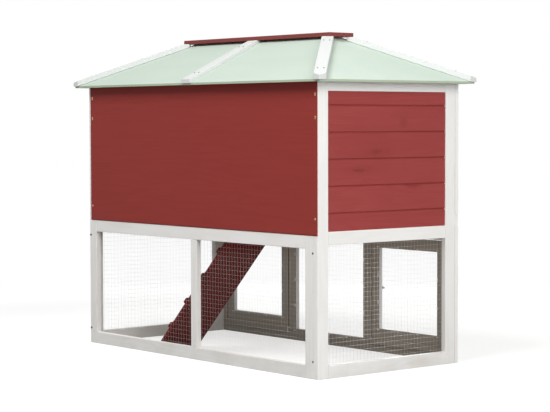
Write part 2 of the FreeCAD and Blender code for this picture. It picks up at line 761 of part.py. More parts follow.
def ridge_beam():
    """A beam level with the sheets' top edges, which lean on its sides."""
    return box((-SEAT_X, SEAT_X), (-SEAT_Y, SEAT_Y), (CAP_SEAT - RIDGE_BEAM_DEPTH, CAP_SEAT))


def roof_rafters():
    """Rafters under the middle seam and under the four hips."""
    inside = box((-END_INNER, END_INNER), (FRONT_INNER, BACK_FACE), (EAVE_LEVEL - PLATE_DEPTH / 2, ABOVE_ROOF))
    layer = UNDER_ROOF.cut(roof_mass(-RAFTER_DEPTH, 0)).common(inside)
    half = RAFTER_WIDTH / 2
    strips = [box((-half, half), (0, way * EAVE_Y), (0, ABOVE_ROOF)) for way in (FRONT, BACK)]
    hip_half = HIP_RAFTER_WIDTH / 2
    for side in (LEFT, RIGHT):
        for way in (FRONT, BACK):
            strip = box((0, EAVE_Y * math.sqrt(2)), (-hip_half, hip_half), (0, ABOVE_ROOF))
            along = vector(side, way, 0).normalize()
            strips.append(place(strip, vector(side * RIDGE_X, 0, 0), along, vector(0, 0, 1).cross(along)))
    taken = roof_plates() + [ridge_beam()]
    rafters = []
    for strip in strips:
        rafter = layer.common(strip).cut(Part.makeCompound(taken))
        rafters.append(max(rafter.Solids, key=lambda solid: solid.Volume))
        taken.append(rafters[-1])
    return rafters


# Fasteners

def back_screws():
    heads = []
    panel_heights = (FLOOR_LEVEL + PANEL_SCREW_LOW, EAVE_LEVEL - PANEL_SCREW_HIGH - PANEL_SCREW_STEP,
                     EAVE_LEVEL - PANEL_SCREW_HIGH)
    frame_heights = (RAIL_HEIGHT + SCREW_RAIL_MARGIN, LOWER_HEAD - SCREW_RAIL_MARGIN)
    for x in (PANEL_LEFT + PANEL_SCREW_EDGE_LEFT, PANEL_RIGHT - PANEL_SCREW_EDGE_RIGHT):
        heads += [vector(x, BACK_FACE + BACK_PANEL_THICK, height) for height in panel_heights]
    for x in (FRAME_SCREW_EDGE_LEFT - END_INNER, HALF_LENGTH - FRAME_SCREW_EDGE_RIGHT):
        heads += [vector(x, BACK_FACE, height) for height in frame_heights]
    return [Part.makeCylinder(SCREW_RADIUS, SCREW_HEIGHT, head, vector(0, 1, 0)) for head in heads]


def batten_nails(top, start, end, width):
    """Two nail heads near each end of a batten's flat top, start and end on its middle line."""
    run = (end - start).normalize()
    normal = (top[1] - top[0]).cross(top[2] - top[1]).normalize()
    if normal.z < 0:
        normal = -normal
    across = run.cross(normal)
    spots = [start + run * NAIL_TOP_MARGIN, end - run * NAIL_EAVE_MARGIN]
    return [Part.makeCylinder(NAIL_RADIUS, NAIL_HEIGHT, spot + across * (way * width / 4), normal)
            for spot in spots for way in (-1, 1)]


def roof_nails():
    nails = []
    for way in (FRONT, BACK):
        seam = seam_batten_top(way)
        nails += batten_nails(seam, (seam[0] + seam[3]) * 0.5, (seam[1] + seam[2]) * 0.5, SEAM_BATTEN_WIDTH)
        for side in (LEFT, RIGHT):
            hip = hip_batten_top(side, way)
            nails += batten_nails(hip, (hip[0] + hip[4]) * 0.5, (hip[1] + hip[3]) * 0.5, HIP_BATTEN_WIDTH)
        for x in (CAP_NAIL_MARGIN - CAP_LENGTH / 2, 0, CAP_LENGTH / 2 - CAP_NAIL_MARGIN):
            nails.append(Part.makeCylinder(NAIL_RADIUS, NAIL_HEIGHT, vector(x, way * SEAT_Y / 2, CAP_TOP)))
    return nails


# All the nodes

DOORS = {
    "lower_left": (LEFT, RAIL_HEIGHT, LOWER_HEAD, door_net),
    "lower_right": (RIGHT, RAIL_HEIGHT, LOWER_HEAD, door_net),
    "upper_left": (LEFT, UPPER_SILL, TOP_RAIL, door_net),
    "upper_right": (RIGHT, UPPER_SILL, TOP_RAIL, door_boards)}


def export_ends():
    for name, side in (("left", LEFT), ("right", RIGHT)):
        export(name + "_end_frame", end_frame(side))
        export(name + "_end_boards", end_boards(side))
        export(name + "_end_mesh", end_net(side))


def export_front_and_back():
    middle = (-MIDDLE_STILE, MIDDLE_STILE)
    upper = front_frame(UPPER_BASE, UPPER_SILL, TOP_RAIL, ABOVE_ROOF)
    export("back_panel", [back_panel()])
    export("back_frame", back_frame())
    export("back_mesh", back_nets())
    export("front_lower_frame", front_frame(0, RAIL_HEIGHT, LOWER_HEAD, FLOOR_LEVEL))
    export("front_lower_mesh", lengthwise_net(middle, FRONT_INNER, 1, (RAIL_HEIGHT, LOWER_HEAD)))
    export("front_upper_frame", [under_roof(bar) for bar in upper])
    export("front_upper_mesh", lengthwise_net(middle, FRONT_INNER, 1, (UPPER_SILL, TOP_RAIL)))


def export_doors():
    fixed_leaves = ramp_leaves(False)
    pins = [hinge_pin(origin, vector(0, 1, 0)) for origin in ramp_hinge_origins()]
    keepers = []
    for name, (side, sill, head, infill) in DOORS.items():
        export(name + "_door_frame", door_frame(side, sill, head))
        export(name + "_door_infill", infill(side, sill, head))
        export(name + "_door_leaves", door_leaves(side, sill, head, True))
        export(name + "_bolt_base", [on_door(bolt_base(), side, sill, head)])
        export(name + "_bolt_rod", [on_door(bolt_rod(), side, sill, head)])
        fixed_leaves += door_leaves(side, sill, head, False)
        pins += [hinge_pin(origin, vector(0, 0, 1)) for origin in door_hinge_origins(side, sill, head)]
        keepers.append(on_door(bolt_keeper(), side, sill, head))
    export("hinge_frame_leaves", fixed_leaves)
    export("hinge_pins", pins)
    export("bolt_keepers", keepers)


def export_inside():
    export("upper_floor", [upper_floor()])
    export("floor_bearers", floor_bearers())
    export("partition", [partition()])
    export("tray_pan", [tray_pan()])
    export("tray_front", [tray_front()])
    export("tray_knobs", tray_knobs())
    export("ramp_board", [ramp_board()])
    export("ramp_cleats", ramp_cleats())
    export("ramp_leaves", ramp_leaves(True))


def export_roof():
    for name, side in (("left", LEFT), ("right", RIGHT)):
        export("roof_sheet_back_" + name, [slope_sheet(side, BACK)])
        export("roof_sheet_front_" + name, [slope_sheet(side, FRONT)])
        export("roof_sheet_end_" + name, [end_sheet(side)])
    export("hip_battens", hip_battens())
    export("seam_battens", seam_battens())
    export("ridge_cap", [ridge_cap()])
    export("roof_plates", roof_plates())
    export("ridge_beam", [ridge_beam()])
    export("roof_rafters", roof_rafters())


def main():
    os.makedirs("parts", exist_ok=True)
    export_ends()
    export_front_and_back()
    export_doors()
    export_inside()
    export_roof()
    export("back_screws", back_screws())
    export("roof_nails", roof_nails())


main()
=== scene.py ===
"""Looks of a two-storey pet hutch: painted timber, welded mesh and a mint hipped roof round the frame."""
import logging
import math
import random
from collections.abc import Callable, Iterable, Sequence
from dataclasses import dataclass, field
from enum import Enum

import bmesh
import bpy
from bmesh.types import BMEdge, BMesh, BMFace, BMVert
from bpy.types import ID, Material, Node, NodeSocket, NodeTree, Object
from mathutils import Matrix, Vector


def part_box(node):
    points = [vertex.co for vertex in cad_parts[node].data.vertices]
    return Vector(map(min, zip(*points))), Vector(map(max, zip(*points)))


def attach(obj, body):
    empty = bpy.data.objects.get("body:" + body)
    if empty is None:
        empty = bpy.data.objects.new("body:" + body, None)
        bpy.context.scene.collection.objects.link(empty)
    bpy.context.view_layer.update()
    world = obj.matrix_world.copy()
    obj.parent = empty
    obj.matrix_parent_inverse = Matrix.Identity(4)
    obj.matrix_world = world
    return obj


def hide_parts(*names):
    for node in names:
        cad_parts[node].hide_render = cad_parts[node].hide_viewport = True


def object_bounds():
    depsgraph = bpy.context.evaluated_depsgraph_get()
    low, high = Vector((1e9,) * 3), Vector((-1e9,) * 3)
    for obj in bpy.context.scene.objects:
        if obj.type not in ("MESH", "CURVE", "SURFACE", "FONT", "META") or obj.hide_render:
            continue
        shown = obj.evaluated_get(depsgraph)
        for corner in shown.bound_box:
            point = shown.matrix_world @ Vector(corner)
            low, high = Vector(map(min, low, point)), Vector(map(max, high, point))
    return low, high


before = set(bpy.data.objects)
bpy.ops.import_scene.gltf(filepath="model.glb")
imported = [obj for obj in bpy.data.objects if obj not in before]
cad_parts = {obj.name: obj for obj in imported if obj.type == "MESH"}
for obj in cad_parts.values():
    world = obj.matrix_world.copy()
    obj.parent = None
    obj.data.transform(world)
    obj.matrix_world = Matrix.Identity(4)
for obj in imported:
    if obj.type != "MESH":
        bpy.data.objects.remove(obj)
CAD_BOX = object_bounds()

LOG = logging.getLogger("hutch")
IMAGE_WIDTH = 550
# A hair's width between pieces, the distance at which corners are one, the bend that still counts as flat,
# and the most that a screw's cross is turned.
SEAM = 0.0005
WELD = 1e-5
FLATNESS = math.radians(1.0)
SCREW_TURN = 1.5
Span = tuple[float, float]
Triple = tuple[float, float, float]
Rgb = tuple[float, float, float]


class Axis(Enum):
    """A direction of the frame."""

    X = (1.0, 0.0, 0.0)
    Y = (0.0, 1.0, 0.0)
    Z = (0.0, 0.0, 1.0)

    @property
    def vector(self) -> Vector:
        """The direction as a vector."""
        return Vector(self.value)


class Side(Enum):
    """An end of the hutch, as seen from the doors."""

    LEFT = -1
    RIGHT = 1


# Shader graphs

@dataclass
class Graph:
    """A node tree that is written one node at a time."""

    tree: NodeTree

    def add(self, kind: str, inputs: dict | None = None, **settings: object) -> Node:
        """Adds a node.

        Args:
            kind: The node's type name, without its ShaderNode prefix.
            inputs: Input name or number to a value, or to the socket that feeds it.
            settings: Properties of the node.

        Returns:
            The new node.
        """
        node = self.tree.nodes.new("ShaderNode" + kind)
        for key, value in settings.items():
            setattr(node, key, value)
        for key, value in (inputs or {}).items():
            if isinstance(value, NodeSocket):
                self.tree.links.new(value, node.inputs[key])
            else:
                node.inputs[key].default_value = value
        return node

    def math(self, operation: str, *values: object, clamp: bool = False) -> NodeSocket:
        """Adds a sum of one to three values.

        Args:
            operation: The Math node's operation.
            values: Numbers, or the sockets that give them.
            clamp: Whether the result is kept between 0 and 1.

        Returns:
            The socket with the result.
        """
        node = self.add("Math", dict(enumerate(values)), operation=operation, use_clamp=clamp)
        return node.outputs[0]

    def stretch(self, place: NodeSocket, scale: Triple) -> NodeSocket:
        """Scales a place.

        Args:
            place: The place to change.
            scale: Factor along each axis.

        Returns:
            The socket with the changed place.
        """
        return self.add("Mapping", {"Vector": place, "Scale": scale}).outputs[0]

    def noise(self, place: NodeSocket, scale: float, detail: float, roughness: float = 0.5,
              distortion: float = 0.0) -> NodeSocket:
        """Adds a noise.

        Args:
            place: Where it is read.
            scale: Blobs per metre.
            detail: Number of finer layers.
            roughness: Weight of the finer layers.
            distortion: How far the pattern is pulled about.

        Returns:
            The socket with the noise, from 0 to 1.
        """
        return self.add("TexNoise", {
            "Vector": place, "Scale": scale, "Detail": detail, "Roughness": roughness,
            "Distortion": distortion}).outputs[0]

    def ease(self, value: NodeSocket, low: float, high: float, start: float = 0.0,
             end: float = 1.0) -> NodeSocket:
        """Maps one span of a value smoothly to another.

        Args:
            value: The value to map.
            low: Where the span starts.
            high: Where the span ends.
            start: Result at its start.
            end: Result at its end.

        Returns:
            The socket with the mapped value.
        """
        spans = {0: value, 1: low, 2: high, 3: start, 4: end}
        return self.add("MapRange", spans, interpolation_type="SMOOTHSTEP").outputs[0]

    def blend(self, share: object, first: object, second: object) -> NodeSocket:
        """Mixes two colours.

        Args:
            share: How much of the second colour is used, as a number or a socket.
            first: A colour or a socket.
            second: A colour or a socket.

        Returns:
            The socket with the mixed colour.
        """
        node = self.add("Mix", data_type="RGBA")
        for key, value in zip((0, 6, 7), (share, first, second)):
            if isinstance(value, NodeSocket):
                self.tree.links.new(value, node.inputs[key])
            else:
                node.inputs[key].default_value = value if key == 0 else (*value, 1.0)
        return node.outputs[2]

    def cover(self, colour: object, mask: NodeSocket, share: float, over: Rgb) -> NodeSocket:
        """Lays a colour over another where a mask is.

        Args:
            colour: The colour below, or its socket.
            mask: Where the upper colour lies, from 0 to 1.
            share: How far it covers where the mask is 1.
            over: The upper colour.

        Returns:
            The socket with the covered colour.
        """
        return self.blend(self.math("MULTIPLY", mask, share), colour, over)

    def dress(self, shader: Node, colour: NodeSocket, rough: NodeSocket, height: NodeSocket,
              relief: Span) -> None:
        """Feeds a shader's colour, roughness and relief.

        Args:
            shader: The shader.
            colour: Its colour.
            rough: Its roughness.
            height: The height of its surface, from 0 to 1.
            relief: Strength of the relief, and its depth in metres.
        """
        bump = self.add("Bump", {"Strength": relief[0], "Distance": relief[1], "Height": height}).outputs[0]
        for label, socket in (("Base Color", colour), ("Roughness", rough), ("Normal", bump)):
            self.tree.links.new(socket, shader.inputs[label])


def shader_group(name: str, inputs: dict[str, str], outputs: dict[str, str]) -> tuple[Graph, dict, dict]:
    """Starts a shader node group.

    Args:
        name: The group's name.
        inputs: Name of each input to its socket type.
        outputs: Name of each output to its socket type.

    Returns:
        The graph, its input sockets by name, and its output sockets by name.
    """
    tree = bpy.data.node_groups.new(name, "ShaderNodeTree")
    for way, sockets in (("INPUT", inputs), ("OUTPUT", outputs)):
        for label, kind in sockets.items():
            tree.interface.new_socket(label, in_out=way, socket_type="NodeSocket" + kind)
    start = tree.nodes.new("NodeGroupInput")
    end = tree.nodes.new("NodeGroupOutput")
    return Graph(tree), {s.name: s for s in start.outputs}, {s.name: s for s in end.inputs}


def timber_group() -> NodeTree:
    """Grain of sawn softwood: fine fibres, growth lines and a few knots.

    Returns:
        A group that takes a place with X along the grain.
    """
    graph, given, result = shader_group(
        "timber_grain", {"Place": "Vector", "Knots": "Float"},
        {"Fibre": "Float", "Line": "Float", "Knot": "Float", "Cloud": "Float", "Height": "Float"})
    place = given["Place"]
    fibre = graph.noise(graph.stretch(place, (5, 260, 260)), 1.0, 3.0, 0.6)
    slow = graph.noise(graph.stretch(place, (1.6, 16, 16)), 1.0, 2.0, 0.45, 0.4)
    cells = {"Vector": graph.stretch(place, (4.2, 15, 15)), "Scale": 1.0, "Randomness": 1.0}
    spots = graph.add("TexVoronoi", cells, feature="F1")
    lottery = graph.add("SeparateColor", {0: spots.outputs["Color"]}).outputs[0]
    chosen = graph.math("LESS_THAN", lottery, given["Knots"])
    core = graph.math("MULTIPLY", graph.ease(spots.outputs["Distance"], 0.05, 0.24, 1.0, 0.0), chosen)
    pull = graph.math("MULTIPLY", graph.ease(spots.outputs["Distance"], 0.1, 0.6, 1.0, 0.0), chosen)
    phase = graph.math("MULTIPLY_ADD", slow, 46.0, graph.math("MULTIPLY", pull, 5.0))
    wave = graph.math("MULTIPLY_ADD", graph.math("SINE", phase), 0.5, 0.5)
    line = graph.ease(wave, 0.35, 0.95)
    height = graph.math("MULTIPLY_ADD", line, 0.55, graph.math("MULTIPLY", fibre, 0.8))
    height = graph.math("MULTIPLY_ADD", core, 0.6, height)
    for label, socket in (("Fibre", fibre), ("Line", line), ("Knot", core), ("Height", height),
                          ("Cloud", graph.noise(graph.stretch(place, (3, 9, 9)), 1.0, 2.0))):
        graph.tree.links.new(socket, result[label])
    return graph.tree


def edge_group() -> NodeTree:
    """Wear along the edges of a squared piece, broken up where it isn't rubbed.

    Returns:
        A group that gives 1 on worn edges and 0 away from them.
    """
    graph, given, result = shader_group(
        "edge_rub", {"Reach": "Vector", "Half": "Vector", "Width": "Float"},
        {"Rub": "Float", "Edge": "Float"})
    size = graph.add("VectorMath", {0: given["Reach"]}, operation="ABSOLUTE").outputs[0]
    room = graph.add("VectorMath", {0: given["Half"], 1: size}, operation="SUBTRACT").outputs[0]
    a, b, c = graph.add("SeparateXYZ", {0: room}).outputs
    greater = graph.math("MAXIMUM", a, b)
    middle = graph.math("MAXIMUM", graph.math("MINIMUM", a, b), graph.math("MINIMUM", greater, c))
    edge = graph.math("SUBTRACT", 1.0, graph.math("DIVIDE", middle, given["Width"]), clamp=True)
    scuff = graph.noise(given["Reach"], 70.0, 4.0, 0.65)
    rub = graph.math("MULTIPLY", edge, graph.ease(scuff, 0.47, 0.68))
    graph.tree.links.new(rub, result["Rub"])
    graph.tree.links.new(edge, result["Edge"])
    return graph.tree


def dust_group() -> NodeTree:
    """Cloudy grime that gathers near the ground.

    Returns:
        A group that takes a place in the frame.
    """
    graph, given, result = shader_group(
        "handling_dust", {"Place": "Vector", "Height": "Float"}, {"Dust": "Float"})
    level = graph.add("SeparateXYZ", {0: given["Place"]}).outputs[2]
    cloud = graph.noise(given["Place"], 9.0, 4.0, 0.6)
    low = graph.ease(graph.math("DIVIDE", level, given["Height"]), 0.0, 1.0, 1.0, 0.0)
    graph.tree.links.new(graph.math("MULTIPLY", low, graph.ease(cloud, 0.3, 0.75)), result["Dust"])
    return graph.tree


class Shared:
    """The node groups that several finishes use, each built once."""

    timber = timber_group()
    edge = edge_group()
    dust = dust_group()


def new_material(name: str) -> tuple[Material, Graph, Node]:
    """Starts a material with an empty graph and its shader.

    Args:
        name: The material's name.

    Returns:
        The material, its graph and its Principled BSDF.
    """
    material = bpy.data.materials.new(name)
    material.use_nodes = True
    tree = material.node_tree
    tree.nodes.clear()
    graph = Graph(tree)
    shader = graph.add("BsdfPrincipled")
    graph.add("OutputMaterial", {0: shader.outputs[0]})
    return material, graph, shader


class Grain(Enum):
    """Where a wooden finish reads the run of its grain."""

    PIECE = "piece"
    FRAME_X = "frame_x"
    FRAME_Y = "frame_y"

    def place(self, graph: Graph) -> NodeSocket:
        """Gives a place with X along the grain.

        Args:
            graph: The graph that reads it.

        Returns:
            The socket with the place.
        """
        if self is Grain.PIECE:
            return graph.add("Attribute", attribute_name="grain").outputs["Vector"]
        inside = graph.add("TexCoord").outputs["Object"]
        if self is Grain.FRAME_X:
            return inside
        x, y, z = graph.add("SeparateXYZ", {0: inside}).outputs
        return graph.add("CombineXYZ", {0: y, 1: x, 2: z}).outputs[0]


@dataclass(frozen=True)
class Knot:
    """A knot at a place of its own, drawn out along a level board of an end."""

    place: Triple
    length: float
    height: float
    depth: float = 0.012
    raggedness: float = 1.8
    heart_share: float = 1.0
    ring_share: float = 0.3

    def mask(self, graph: Graph, inside: NodeSocket) -> NodeSocket:
        """Gives how dark the knot is: most in its heart, less in its rings and nothing past them.

        Args:
            graph: The graph that reads it.
            inside: The place in the frame.

        Returns:
            The socket with the mask.
        """
        away = graph.add("VectorMath", {0: inside, 1: self.place}, operation="SUBTRACT").outputs[0]
        near = graph.stretch(away, (1.0 / self.depth, 2.0 / self.length, 2.0 / self.height))
        distance = graph.add("VectorMath", {0: near}, operation="LENGTH").outputs[1]
        ragged = graph.noise(graph.stretch(inside, (60, 60, 240)), 1.0, 3.0, 0.6)
        shift = graph.math("MULTIPLY_ADD", ragged, self.raggedness, -self.raggedness / 2)
        distance = graph.math("ADD", distance, shift)
        heart = graph.ease(distance, 0.3, 1.0, self.heart_share, 0.0)
        rings = graph.ease(distance, 0.9, 2.4, self.ring_share, 0.0)
        return graph.math("MAXIMUM", heart, rings)


@dataclass(frozen=True)
class TimberFinish:
    """Paint, stain or bare wood over softwood grain."""

    name: str
    colour: Rgb
    line_colour: Rgb
    knot_colour: Rgb
    rub_colour: Rgb
    line_share: float = 0.2
    fibre_share: float = 0.2
    knot_share: float = 0.4
    knots: float = 0.25
    rub_share: float = 0.3
    tone_share: float = 0.12
    dust_share: float = 0.12
    roughness: float = 0.5
    bump: float = 0.25
    specular: float = 0.2
    grain: Grain = Grain.PIECE
    placed_knots: tuple[Knot, ...] = ()
    dust_colour: Rgb = (0.36, 0.32, 0.26)
    dust_height: float = 0.16
    rub_width: float = 0.0022
    bump_depth: float = 0.0006

    def material(self) -> Material:
        """Makes the finish.

        Returns:
            The material.
        """
        material, graph, shader = new_material(self.name)
        inside = graph.add("TexCoord").outputs["Object"]
        grain = {"Place": self.grain.place(graph), "Knots": self.knots}
        wood = graph.add("Group", grain, node_tree=Shared.timber).outputs
        soiling = {"Place": inside, "Height": self.dust_height}
        dust = graph.add("Group", soiling, node_tree=Shared.dust).outputs
        colour = graph.cover(self.colour, wood["Line"], self.line_share, self.line_colour)
        fibre = graph.ease(wood["Fibre"], 0.4, 0.75, 0.0, self.fibre_share)
        colour = graph.blend(fibre, colour, self.line_colour)
        colour = graph.cover(colour, wood["Knot"], self.knot_share, self.knot_colour)
        for knot in self.placed_knots:
            colour = graph.cover(colour, knot.mask(graph, inside), self.knot_share, self.knot_colour)
        tone = graph.ease(wood["Cloud"], 0.25, 0.75, 0.0, self.tone_share)
        if self.grain is Grain.PIECE:
            own = graph.add("Attribute", attribute_name="tone").outputs["Fac"]
            tone = graph.math("MULTIPLY_ADD", own, self.tone_share, tone, clamp=True)
        colour = graph.blend(tone, colour, self.line_colour)
        colour = graph.cover(colour, dust["Dust"], self.dust_share, self.dust_colour)
        rough = graph.ease(wood["Fibre"], 0.3, 0.8, self.roughness - 0.06, self.roughness + 0.08)
        if self.grain is Grain.PIECE:
            rim = {label: graph.add("Attribute", attribute_name=label.lower()).outputs["Vector"]
                   for label in ("Reach", "Half")}
            edge = graph.add("Group", {**rim, "Width": self.rub_width}, node_tree=Shared.edge).outputs
            colour = graph.cover(colour, edge["Rub"], self.rub_share, self.rub_colour)
            rough = graph.math("MULTIPLY_ADD", edge["Edge"], -0.04, rough)
        shader.inputs["Specular IOR Level"].default_value = self.specular
        graph.dress(shader, colour, rough, wood["Height"], (self.bump, self.bump_depth))
        return material


@dataclass(frozen=True)
class MetalFinish:
    """Zinc on steel: cloudy, spangled and a little scratched."""

    name: str
    colour: Rgb
    dark: Rgb
    roughness: float = 0.4
    spangle: float = 60.0
    metallic: float = 0.85
    bump: float = 0.1
    bump_depth: float = 0.0002

    def material(self) -> Material:
        """Makes the finish.

        Returns:
            The material.
        """
        material, graph, shader = new_material(self.name)
        inside = graph.add("TexCoord").outputs["Object"]
        flakes = graph.add("TexVoronoi", {"Vector": inside, "Scale": self.spangle}, feature="F1")
        flake = graph.add("SeparateColor", {0: flakes.outputs["Color"]}).outputs[0]
        cloud = graph.noise(inside, 35.0, 4.0, 0.6)
        scratch = graph.noise(graph.stretch(inside, (30, 600, 600)), 1.0, 2.0, 0.6)
        share = graph.math("MULTIPLY_ADD", flake, 0.35, graph.math("MULTIPLY", cloud, 0.5), clamp=True)
        colour = graph.blend(share, self.colour, self.dark)
        rough = graph.ease(cloud, 0.3, 0.7, self.roughness - 0.08, self.roughness + 0.12)
        height = graph.math("MULTIPLY_ADD", scratch, 0.5, flake)
        shader.inputs["Metallic"].default_value = self.metallic
        graph.dress(shader, colour, rough, height, (self.bump, self.bump_depth))
        return material


@dataclass(frozen=True)
class SheetFinish:
    """A thin coat rolled on ply: fine pores, roller marks and slow clouds of tone."""

    name: str
    colour: Rgb
    pale: Rgb
    dark: Rgb
    roughness: float = 0.55
    grit: float = 900.0
    specular: float = 0.2
    bump: float = 0.12
    bump_depth: float = 0.0003

    def material(self) -> Material:
        """Makes the finish.

        Returns:
            The material.
        """
        material, graph, shader = new_material(self.name)
        inside = graph.add("TexCoord").outputs["Object"]
        cloud = graph.noise(inside, 5.0, 3.0, 0.55)
        band = graph.noise(graph.stretch(inside, (1.2, 14, 14)), 1.0, 2.0, 0.5)
        grit = graph.noise(inside, self.grit, 2.0, 0.7)
        colour = graph.blend(graph.ease(cloud, 0.3, 0.75, 0.0, 0.55), self.colour, self.pale)
        colour = graph.blend(graph.ease(band, 0.4, 0.8, 0.0, 0.3), colour, self.dark)
        colour = graph.blend(graph.ease(grit, 0.55, 0.8, 0.0, 0.25), colour, self.dark)
        rough = graph.ease(grit, 0.3, 0.7, self.roughness - 0.08, self.roughness + 0.1)
        height = graph.math("MULTIPLY_ADD", band, 0.6, grit)
        shader.inputs["Specular IOR Level"].default_value = self.specular
        graph.dress(shader, colour, rough, height, (self.bump, self.bump_depth))
        return material


WHITE_PAINT = TimberFinish(
    "white_paint", (0.80, 0.792, 0.778), (0.70, 0.68, 0.64), (0.66, 0.53, 0.44), (0.62, 0.52, 0.40),
    line_share=0.25, fibre_share=0.18, knot_share=0.3, knots=0.18, rub_share=0.35, tone_share=0.25,
    dust_share=0.2, roughness=0.5, bump=0.2)
# The frames' white paint, written darker as painted shade, because the roof laths get more light than the
# walls.
LATH_PAINT_SHADED = TimberFinish(
    "lath_paint", (0.60, 0.615, 0.605), (0.58, 0.59, 0.57), (0.58, 0.47, 0.40), (0.55, 0.47, 0.38),
    line_share=0.2, fibre_share=0.15, knot_share=0.2, knots=0.12, rub_share=0.3, tone_share=0.15,
    dust_share=0.0, roughness=0.55, bump=0.2)
# Dark coat on the inner faces and the door stops: partly a primer, partly painted shade for the inside of the
# hutch.
PRIMER_AND_SHADE = TimberFinish(
    "thin_primer", (0.39, 0.355, 0.31), (0.45, 0.385, 0.31), (0.37, 0.28, 0.20), (0.42, 0.36, 0.28),
    line_share=0.35, fibre_share=0.3, knot_share=0.4, knots=0.2, rub_share=0.3, tone_share=0.25,
    dust_share=0.2, roughness=0.6, bump=0.25)
# Bare edges round the door gaps, darkened as painted shade in the gaps.
RAW_EDGE_AND_GAP_SHADE = TimberFinish(
    "raw_edge", (0.17, 0.135, 0.10), (0.12, 0.09, 0.065), (0.08, 0.05, 0.035), (0.20, 0.16, 0.12),
    line_share=0.4, fibre_share=0.3, knots=0.1, tone_share=0.2, roughness=0.7, bump=0.3)
RED_BOARD = TimberFinish(
    "red_board_stain", (0.312, 0.057, 0.054), (0.25, 0.041, 0.038), (0.125, 0.018, 0.018),
    (0.30, 0.13, 0.09),
    line_share=0.3, fibre_share=0.4, knot_share=0.8, knots=0.6, rub_share=0.35, tone_share=0.35,
    dust_share=0.0, roughness=0.5, bump=0.3, specular=0.1,
    placed_knots=(Knot((-0.531, 0.050, 0.599), 0.070, 0.019),
                  Knot((-0.531, 0.109, 0.549), 0.075, 0.015),
                  Knot((-0.531, -0.052, 0.676), 0.018, 0.018, heart_share=0.5)))
RED_PANEL = TimberFinish(
    "red_panel_stain", (0.258, 0.036, 0.030), (0.225, 0.031, 0.026), (0.19, 0.026, 0.022),
    (0.3, 0.12, 0.08),
    line_share=0.25, fibre_share=0.3, knot_share=0.2, knots=0.08, tone_share=0.3, dust_share=0.0,
    roughness=0.5, bump=0.12, specular=0.08, grain=Grain.FRAME_X)
RED_TRIM = TimberFinish(
    "red_trim_stain", (0.21, 0.046, 0.043), (0.155, 0.033, 0.030), (0.12, 0.022, 0.020), (0.30, 0.13, 0.09),
    line_share=0.4, fibre_share=0.4, knot_share=0.5, rub_share=0.35, tone_share=0.3, dust_share=0.1,
    roughness=0.55, bump=0.35)
# The boards' red stain, written much darker as painted shade on the ramp and its cleats.
RAMP_STAIN_SHADED = TimberFinish(
    "ramp_stain", (0.134, 0.016, 0.014), (0.10, 0.012, 0.010), (0.075, 0.011, 0.010), (0.20, 0.07, 0.05),
    line_share=0.4, fibre_share=0.4, knot_share=0.5, rub_share=0.2, tone_share=0.3, dust_share=0.0,
    roughness=0.65, bump=0.35, specular=0.05)
BARE_PINE = TimberFinish(
    "bare_pine", (0.62, 0.46, 0.28), (0.47, 0.30, 0.155), (0.20, 0.10, 0.05), (0.5, 0.34, 0.2),
    line_share=0.65, fibre_share=0.35, knot_share=0.8, knots=0.3, tone_share=0.3, dust_share=0.0,
    roughness=0.62, bump=0.4, grain=Grain.FRAME_X)
BARE_PINE_ACROSS = TimberFinish(
    "bare_pine_across", (0.60, 0.45, 0.28), (0.46, 0.30, 0.16), (0.20, 0.10, 0.05), (0.5, 0.34, 0.2),
    line_share=0.6, fibre_share=0.35, knot_share=0.8, knots=0.3, tone_share=0.3, dust_share=0.0,
    roughness=0.62, bump=0.4, grain=Grain.FRAME_Y)
MINT_COAT = SheetFinish("mint_coat", (0.465, 0.550, 0.475), (0.50, 0.57, 0.51), (0.425, 0.505, 0.435))
# A darker green-grey copy of the mint for the sheets' edges: painted shade along the eaves.
MINT_EDGE_SHADE = SheetFinish("mint_edge", (0.36, 0.42, 0.31), (0.41, 0.46, 0.36), (0.30, 0.35, 0.25))
MESH_ZINC = MetalFinish("mesh_zinc", (0.84, 0.84, 0.82), (0.70, 0.70, 0.68), 0.45, 400.0, 0.25)
HARDWARE_ZINC = MetalFinish("hardware_zinc", (0.46, 0.46, 0.45), (0.30, 0.30, 0.29), 0.34, 220.0)
TRAY_ZINC = MetalFinish("tray_zinc", (0.60, 0.62, 0.63), (0.45, 0.47, 0.48), 0.38, 55.0)
DARK_SCREW = MetalFinish("dark_screw", (0.11, 0.11, 0.11), (0.05, 0.05, 0.05), 0.45, 300.0)
YELLOW_SCREW = MetalFinish("yellow_screw", (0.58, 0.42, 0.22), (0.40, 0.27, 0.13), 0.38, 300.0)


# Meshes

def add_box(bm: BMesh, low: Sequence[float], high: Sequence[float]) -> list[BMVert]:
    """Adds a box between two corners.

    Args:
        bm: The mesh that gets it.
        low: Its lowest corner.
        high: Its highest corner.

    Returns:
        The box's vertices.
    """
    verts = bmesh.ops.create_cube(bm, size=1.0)["verts"]
    bmesh.ops.scale(bm, vec=Vector(high) - Vector(low), verts=verts)
    bmesh.ops.translate(bm, vec=(Vector(high) + Vector(low)) / 2, verts=verts)
    return verts


def add_prism(bm: BMesh, outline: Iterable[Sequence[float]], run: Vector) -> None:
    """Adds a solid that has the same outline all along.

    Args:
        bm: The mesh that gets it.
        outline: The corners of one end, in order.
        run: From that end to the other.
    """
    before = set(bm.faces)
    end = bm.faces.new([bm.verts.new(corner) for corner in outline])
    made = bmesh.ops.extrude_face_region(bm, geom=[end])["geom"]
    bmesh.ops.translate(bm, vec=run, verts=[v for v in made if isinstance(v, BMVert)])
    bmesh.ops.recalc_face_normals(bm, faces=[f for f in bm.faces if f not in before])


def corners_of(points: Sequence[Vector]) -> tuple[Vector, Vector]:
    """Gives the lowest and the highest corner of some points."""
    return tuple(Vector(end(p[i] for p in points) for i in range(3)) for end in (min, max))


